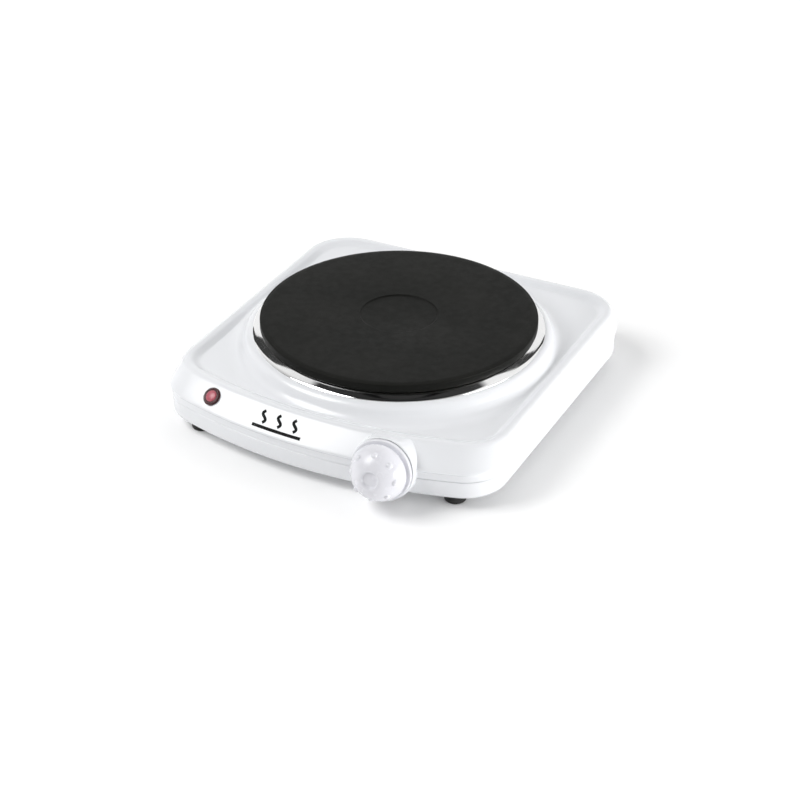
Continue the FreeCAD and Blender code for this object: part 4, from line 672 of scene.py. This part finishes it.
def dome_point(share):
    """The point of the dome's arc whose foot is at a share of the chord, from its edge to its cap."""
    along = (share - 0.5) * dome_chord
    swell = math.sqrt((dome_chord * DOME_BEND) ** 2 - along**2) - dome_centre_depth
    return (DOME - dome_run * share + dome_rise / dome_chord * swell,
            DOME_LOW + dome_rise * share + dome_run / dome_chord * swell)


dome = [dome_point(k / DOME_STEPS) for k in range(DOME_STEPS + 1)]
pip_radius, pip_height = dome_point(1 - PIP_PLACE)
pip_centres = [Vector((pip_radius * math.cos(a), pip_radius * math.sin(a), pip_height))
               for a in (2 * math.pi * k / PIPS for k in range(PIPS))]
pip_outward = Vector((dome_rise, dome_run)).normalized()


def with_pips(point):
    """Pushes the dome's skin out into small round grip pips."""
    if point.z < DOME_LOW or math.hypot(point.x, point.y) < CAP + 1:
        return point
    for centre in pip_centres:
        away = (point - centre).length
        if away < PIP_SIZE:
            lift = PIP_LIFT * math.sqrt(1 - (away / PIP_SIZE) ** 2)
            flat = Vector((centre.x, centre.y, 0)).normalized() * pip_outward.x
            return point + (flat + Vector((0, 0, pip_outward.y))) * lift
    return point


knob_profile = [(0, RECESS_FLOOR), (0, INSIDE_TOP), (CAP, INSIDE_TOP),
                (GROOVE - 2, DOME_LOW), (GROOVE - 2, KNOB_GAP), (FLANGE, KNOB_GAP), (FLANGE, FLANGE_TOP),
                (GROOVE, FLANGE_TOP), (GROOVE, GROOVE_TOP), (DOME, GROOVE_TOP), *dome,
                (CAP_RECESS, KNOB_LENGTH), (CAP_RECESS - 0.9, RECESS_FLOOR)]
knob_cuts = [0, 0, 0, 0, 0, 0.7, 1.0, 0.15, 0.15, 0.7, *([0] * (len(dome) - 1)), 0.3, 0.6, 0.5]
turned("control_knob", knob_profile, knob_cuts, "white_plastic", CONTROL, ["knob"], KNOB_PLACE,
       segments=288, shape=with_pips)

# ------------------------------------------------------------------ lamp

LAMP_X = -75.2
lamp_front = (ledge_line.front_at(LAMP_X) + crest_line.front_at(LAMP_X)) / 2
swing = math.asin(LAMP_X / BOW)
lean = math.atan2(FACIA_RUN, CREST_Z - LEDGE_Z)
LAMP_PLACE = (Matrix.Translation((LAMP_X, lamp_front, (LEDGE_Z + CREST_Z) / 2))
              @ Matrix.Rotation(swing, 4, "Z") @ Matrix.Rotation(math.pi / 2 - lean, 4, "X"))
LENS_CENTRE = 3.9
LENS_CENTRE_LOW = 1.0
lens_profile = [(0, -0.6), (3.7, -0.6), (3.7, -8), (4.8, -8), (4.8, 0.15), (6.1, 0.15), (6.1, 1.1),
                (5.2, 1.75), (4.1, 1.3), (3.2, 1.9), (1.7, 2.25), (0, 2.35)]
lens_cuts = [0, 0.3, 0.2, 0.2, 0.2, 0.1, 0.4, 0.5, 0.25, 0.5, 0.8, 0]
lamp = turned("lamp_window", lens_profile, lens_cuts, "red_lens", BODY, ["lamp_lens"], LAMP_PLACE, 96)
lamp.data.materials.append(painted_lit_centre)
lamp_axis = TO_FRAME @ LAMP_PLACE
# Faces in the dome's middle take the lighter pink of the painted light.
for polygon in lamp.data.polygons:
    local = lamp_axis.inverted() @ polygon.center
    if local.z > LENS_CENTRE_LOW and math.hypot(local.x, local.y) < LENS_CENTRE:
        polygon.material_index = 1

# ------------------------------------------------------------------ feet and cord gland

foot_profile = [(4.4, 0), (6.4, 0), (7.0, 0.6), (7.4, 7.0), (2.1, 7.0), (2.1, 4.4), (4.4, 4.4)]
foot_cuts = [0.25, 0.3, 0.4, 0.3, 0, 0, 0.2]
for name, (x, y, _) in FEET.items():
    turned(name + "_rubber", foot_profile, foot_cuts, "black_rubber", BODY, [name],
           Matrix.Translation((x, y, 0)), 64)

gland_low, gland_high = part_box("cord_gland")
gland_centre = ((gland_low + gland_high) / 2 - AXIS) / MM
gland_out = (gland_high.y - AXIS.y) / MM
GLAND_PLACE = (Matrix.Translation((gland_centre.x, gland_out, gland_centre.z))
               @ Matrix.Rotation(-math.pi / 2, 4, "X"))
wall_out = ledge_back - 1.0 + 0.2 - gland_out
gland_profile = [(3.7, -13.0), (5.3, -13.0), (6.0, -12.6), (6.0, -8.8), (5.3, -8.8), (5.3, wall_out),
                 (6.8, wall_out), (6.8, wall_out + 1.5), (5.9, -0.2), (5.2, 0.0), (3.7, 0.0)]
gland_cuts = [0.2, 0.2, 0.2, 0.1, 0.1, 0.1, 0.3, 0.5, 0.3, 0.2, 0.4]
turned("gland_bush", gland_profile, gland_cuts, "black_plastic", BODY, ["cord_gland"], GLAND_PLACE, 72)

# ------------------------------------------------------------------ printed mark on the facia


def facia_point(x, share, lift):
    """A point on the sloped facia: x across, a share of the way from ledge to crest, a lift off it."""
    low = Vector((x, ledge_line.front_at(x), LEDGE_Z))
    high = Vector((x, crest_line.front_at(x), CREST_Z))
    normal = Vector((1, 0, 0)).cross(high - low).normalized()
    return low.lerp(high, share) + normal * lift


MARK_X = -21.5
MARK_SHARE = 0.42
MARK_LIFT = 0.09
BAR_HALF = 18
BAR_UP = -4.4
WAVE_SWING = 1.6
WAVE_LOW = -1.6
WAVE_RISE = 8.0
WAVE_STEPS = 24


def ribbon(points, half_width):
    """A flat printed line through (across, up) points in millimetres on the facia."""
    length = (facia_point(0, 1, 0) - facia_point(0, 0, 0)).length
    vertices = []
    for index, p in enumerate(points):
        before, after = points[max(index - 1, 0)], points[min(index + 1, len(points) - 1)]
        along = (Vector(after) - Vector(before)).normalized()
        normal = Vector((-along.y, along.x))
        for side in (1, -1):
            for lift in (MARK_LIFT, -0.1):
                q = Vector(p) + normal * half_width * side
                vertices.append(facia_point(MARK_X + q.x, MARK_SHARE + q.y / length, lift))
    faces = []
    for index in range(len(points) - 1):
        a, b = index * 4, index * 4 + 4
        faces += [(a, b, b + 2, a + 2), (a + 1, a + 3, b + 3, b + 1), (a, a + 1, b + 1, b),
                  (a + 2, b + 2, b + 3, a + 3)]
    last = (len(points) - 1) * 4
    faces += [(0, 2, 3, 1), (last, last + 1, last + 3, last + 2)]
    return vertices, faces


mark_vertices, mark_faces = [], []
strokes = [([(k - BAR_HALF, BAR_UP) for k in range(2 * BAR_HALF + 1)], 1.05)]
for column in (-11.5, 0.0, 11.5):
    strokes.append(([(column + WAVE_SWING * math.sin(2 * math.pi * k / WAVE_STEPS),
                      WAVE_LOW + WAVE_RISE * k / WAVE_STEPS) for k in range(WAVE_STEPS + 1)], 1.0))
for points, half_width in strokes:
    made, faces = ribbon(points, half_width)
    start = len(mark_vertices)
    mark_vertices += made
    mark_faces += [tuple(start + k for k in face) for face in faces]
mark = piece("heat_mark", mark_vertices, mark_faces, "black_plastic", BODY, [])
mark.data.materials.clear()
mark.data.materials.append(mark_ink)

# ------------------------------------------------------------------ CAD nodes that stay as they are

replaced = {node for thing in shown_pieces() for node in thing.get("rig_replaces", [])}
for part in frame["record"]["subparts"]:
    if part["node"] in replaced:
        continue
    node = frame["nodes"][part["node"]]
    node.data.materials.clear()
    node.data.materials.append(FINISHES[part["material_slot"]])

# ------------------------------------------------------------------ floor, light and camera

floor_mesh = bpy.data.meshes.new("studio_floor")
REACH = 6.0
floor_mesh.from_pydata([(-REACH, -REACH, 0), (REACH, -REACH, 0), (REACH, REACH, 0),
                        (-REACH, REACH, 0)], [], [(0, 1, 2, 3)])
floor = bpy.data.objects.new("studio_floor", floor_mesh)
bpy.context.scene.collection.objects.link(floor)
floor_finish = Finish("floor_paper_painted_glow", Roughness=0.9, Specular_IOR_Level=0.0)
# The floor glows by itself, weakly within 150 mm of its middle, where the hotplate stands, and more strongly
# beyond 700 mm: painted shade darkening the floor around the hotplate, and a painted glow keeping the far floor
# white.
from_object = floor_finish.offset_length((0, 0))
floor_finish.link(floor_finish.between(from_object, 0.07, 0.36, 150, 700),
                  floor_finish.shader.inputs["Emission Strength"])
floor_finish.shader.inputs["Emission Color"].default_value = (1, 1, 1, 1)
floor_finish.colour(floor_finish.blend(floor_finish.noise(300, detail=1), (0.93, 0.93, 0.93),
                                       (0.95, 0.95, 0.95)))
floor_mesh.materials.append(floor_finish.material)

# The studio's walls are bright up to BAND_LOW degrees above the floor and dark over BAND_HIGH, dimmer in
# front than behind, with a dark gap between the soft boxes at each of two compass directions.
BAND_LOW, BAND_HIGH = 57, 60
BAND_LIGHT, ZENITH_LIGHT = 0.95, 0.04
FRONT_SHARE = 0.27
FRONT_FROM, FRONT_TO = -0.35, 0.25
GAPS = ((154, 6), (76, 4))
GAP_DIMMING = 0.95
world = bpy.data.worlds.new("studio")
world.use_nodes = True
sky = world.node_tree


def sky_node(kind, inputs, **settings):
    """A node of the sky, with numbers or links for its inputs by name or place."""
    node = sky.nodes.new(kind)
    for setting, value in settings.items():
        setattr(node, setting, value)
    for key, value in inputs.items():
        if isinstance(value, (int, float)):
            node.inputs[key].default_value = value
        else:
            sky.links.new(value, node.inputs[key])
    return node


generated = sky.nodes.new("ShaderNodeTexCoord").outputs["Generated"]
heading = sky_node("ShaderNodeSeparateXYZ", {"Vector": generated})
strength = sky_node("ShaderNodeMapRange", {
    "Value": heading.outputs["Z"], "From Min": math.sin(math.radians(BAND_LOW)), "To Min": BAND_LIGHT,
    "From Max": math.sin(math.radians(BAND_HIGH)), "To Max": ZENITH_LIGHT}).outputs["Result"]
front = sky_node("ShaderNodeMapRange", {
    "Value": heading.outputs["Y"], "From Min": FRONT_FROM, "From Max": FRONT_TO,
    "To Min": FRONT_SHARE, "To Max": 1})
strength = sky_node("ShaderNodeMath", {0: strength, 1: front.outputs["Result"]},
                    operation="MULTIPLY").outputs[0]
compass = sky_node("ShaderNodeMath", {0: heading.outputs["Y"], 1: heading.outputs["X"]},
                   operation="ARCTAN2")
for middle, half in GAPS:
    inside_gap = sky_node("ShaderNodeMath", {
        0: compass.outputs[0], 1: math.radians(middle), 2: math.radians(half)}, operation="COMPARE")
    dimmed = sky_node("ShaderNodeMath", {0: inside_gap.outputs[0], 1: -GAP_DIMMING, 2: 1},
                      operation="MULTIPLY_ADD")
    strength = sky_node("ShaderNodeMath", {0: strength, 1: dimmed.outputs[0]},
                        operation="MULTIPLY").outputs[0]
sky.links.new(strength, sky.nodes["Background"].inputs["Strength"])
sky.nodes["Background"].inputs["Color"].default_value = (1.0, 1.0, 1.0, 1)
bpy.context.scene.world = world


def area_light(name, place, aim, size, power):
    light = bpy.data.lights.new(name, "AREA")
    light.shape = "RECTANGLE"
    light.size, light.size_y = size
    light.energy = power
    thing = bpy.data.objects.new(name, light)
    thing.location = place
    thing.rotation_euler = (Vector(aim) - Vector(place)).to_track_quat("-Z", "Y").to_euler()
    bpy.context.scene.collection.objects.link(thing)
    return thing


area_light("key_left", (-0.87, -0.70, 1.31), (0, 0, 0.03), (0.9, 0.9), 19)
top = area_light("top", (0.25, 0.45, 1.7), (0, 0, 0), (1.2, 1.2), 2.5)
top.visible_glossy = False
area_light("fill_right", (1.35, 0.05, 0.16), (0, 0, 0.03), (0.9, 0.28), 13)

# CAMERA_PLACE is measured in metres from the middle of the cooking face.
CAMERA_PLACE = Vector((0.49876, -0.97800, 0.60711))
CAMERA_BACK = (0.38657, -0.75913, 0.52372)
CAMERA_RIGHT = (0.8909, 0.4542, 0.0008)
LENS_MM, SENSOR_MM = 84.9, 36
camera_data = bpy.data.cameras.new("camera")
camera_data.lens = LENS_MM
camera_data.sensor_width = SENSOR_MM
camera = bpy.data.objects.new("camera", camera_data)
back = Vector(CAMERA_BACK).normalized()
right = Vector(CAMERA_RIGHT).normalized()
turn = Matrix((right, back.cross(right), back)).transposed().to_4x4()
camera.matrix_world = Matrix.Translation(CAMERA_PLACE + AXIS + Vector((0, 0, PLATE_TOP * MM))) @ turn
bpy.context.scene.collection.objects.link(camera)
bpy.context.scene.camera = camera
bpy.context.scene.view_settings.view_transform = "Standard"
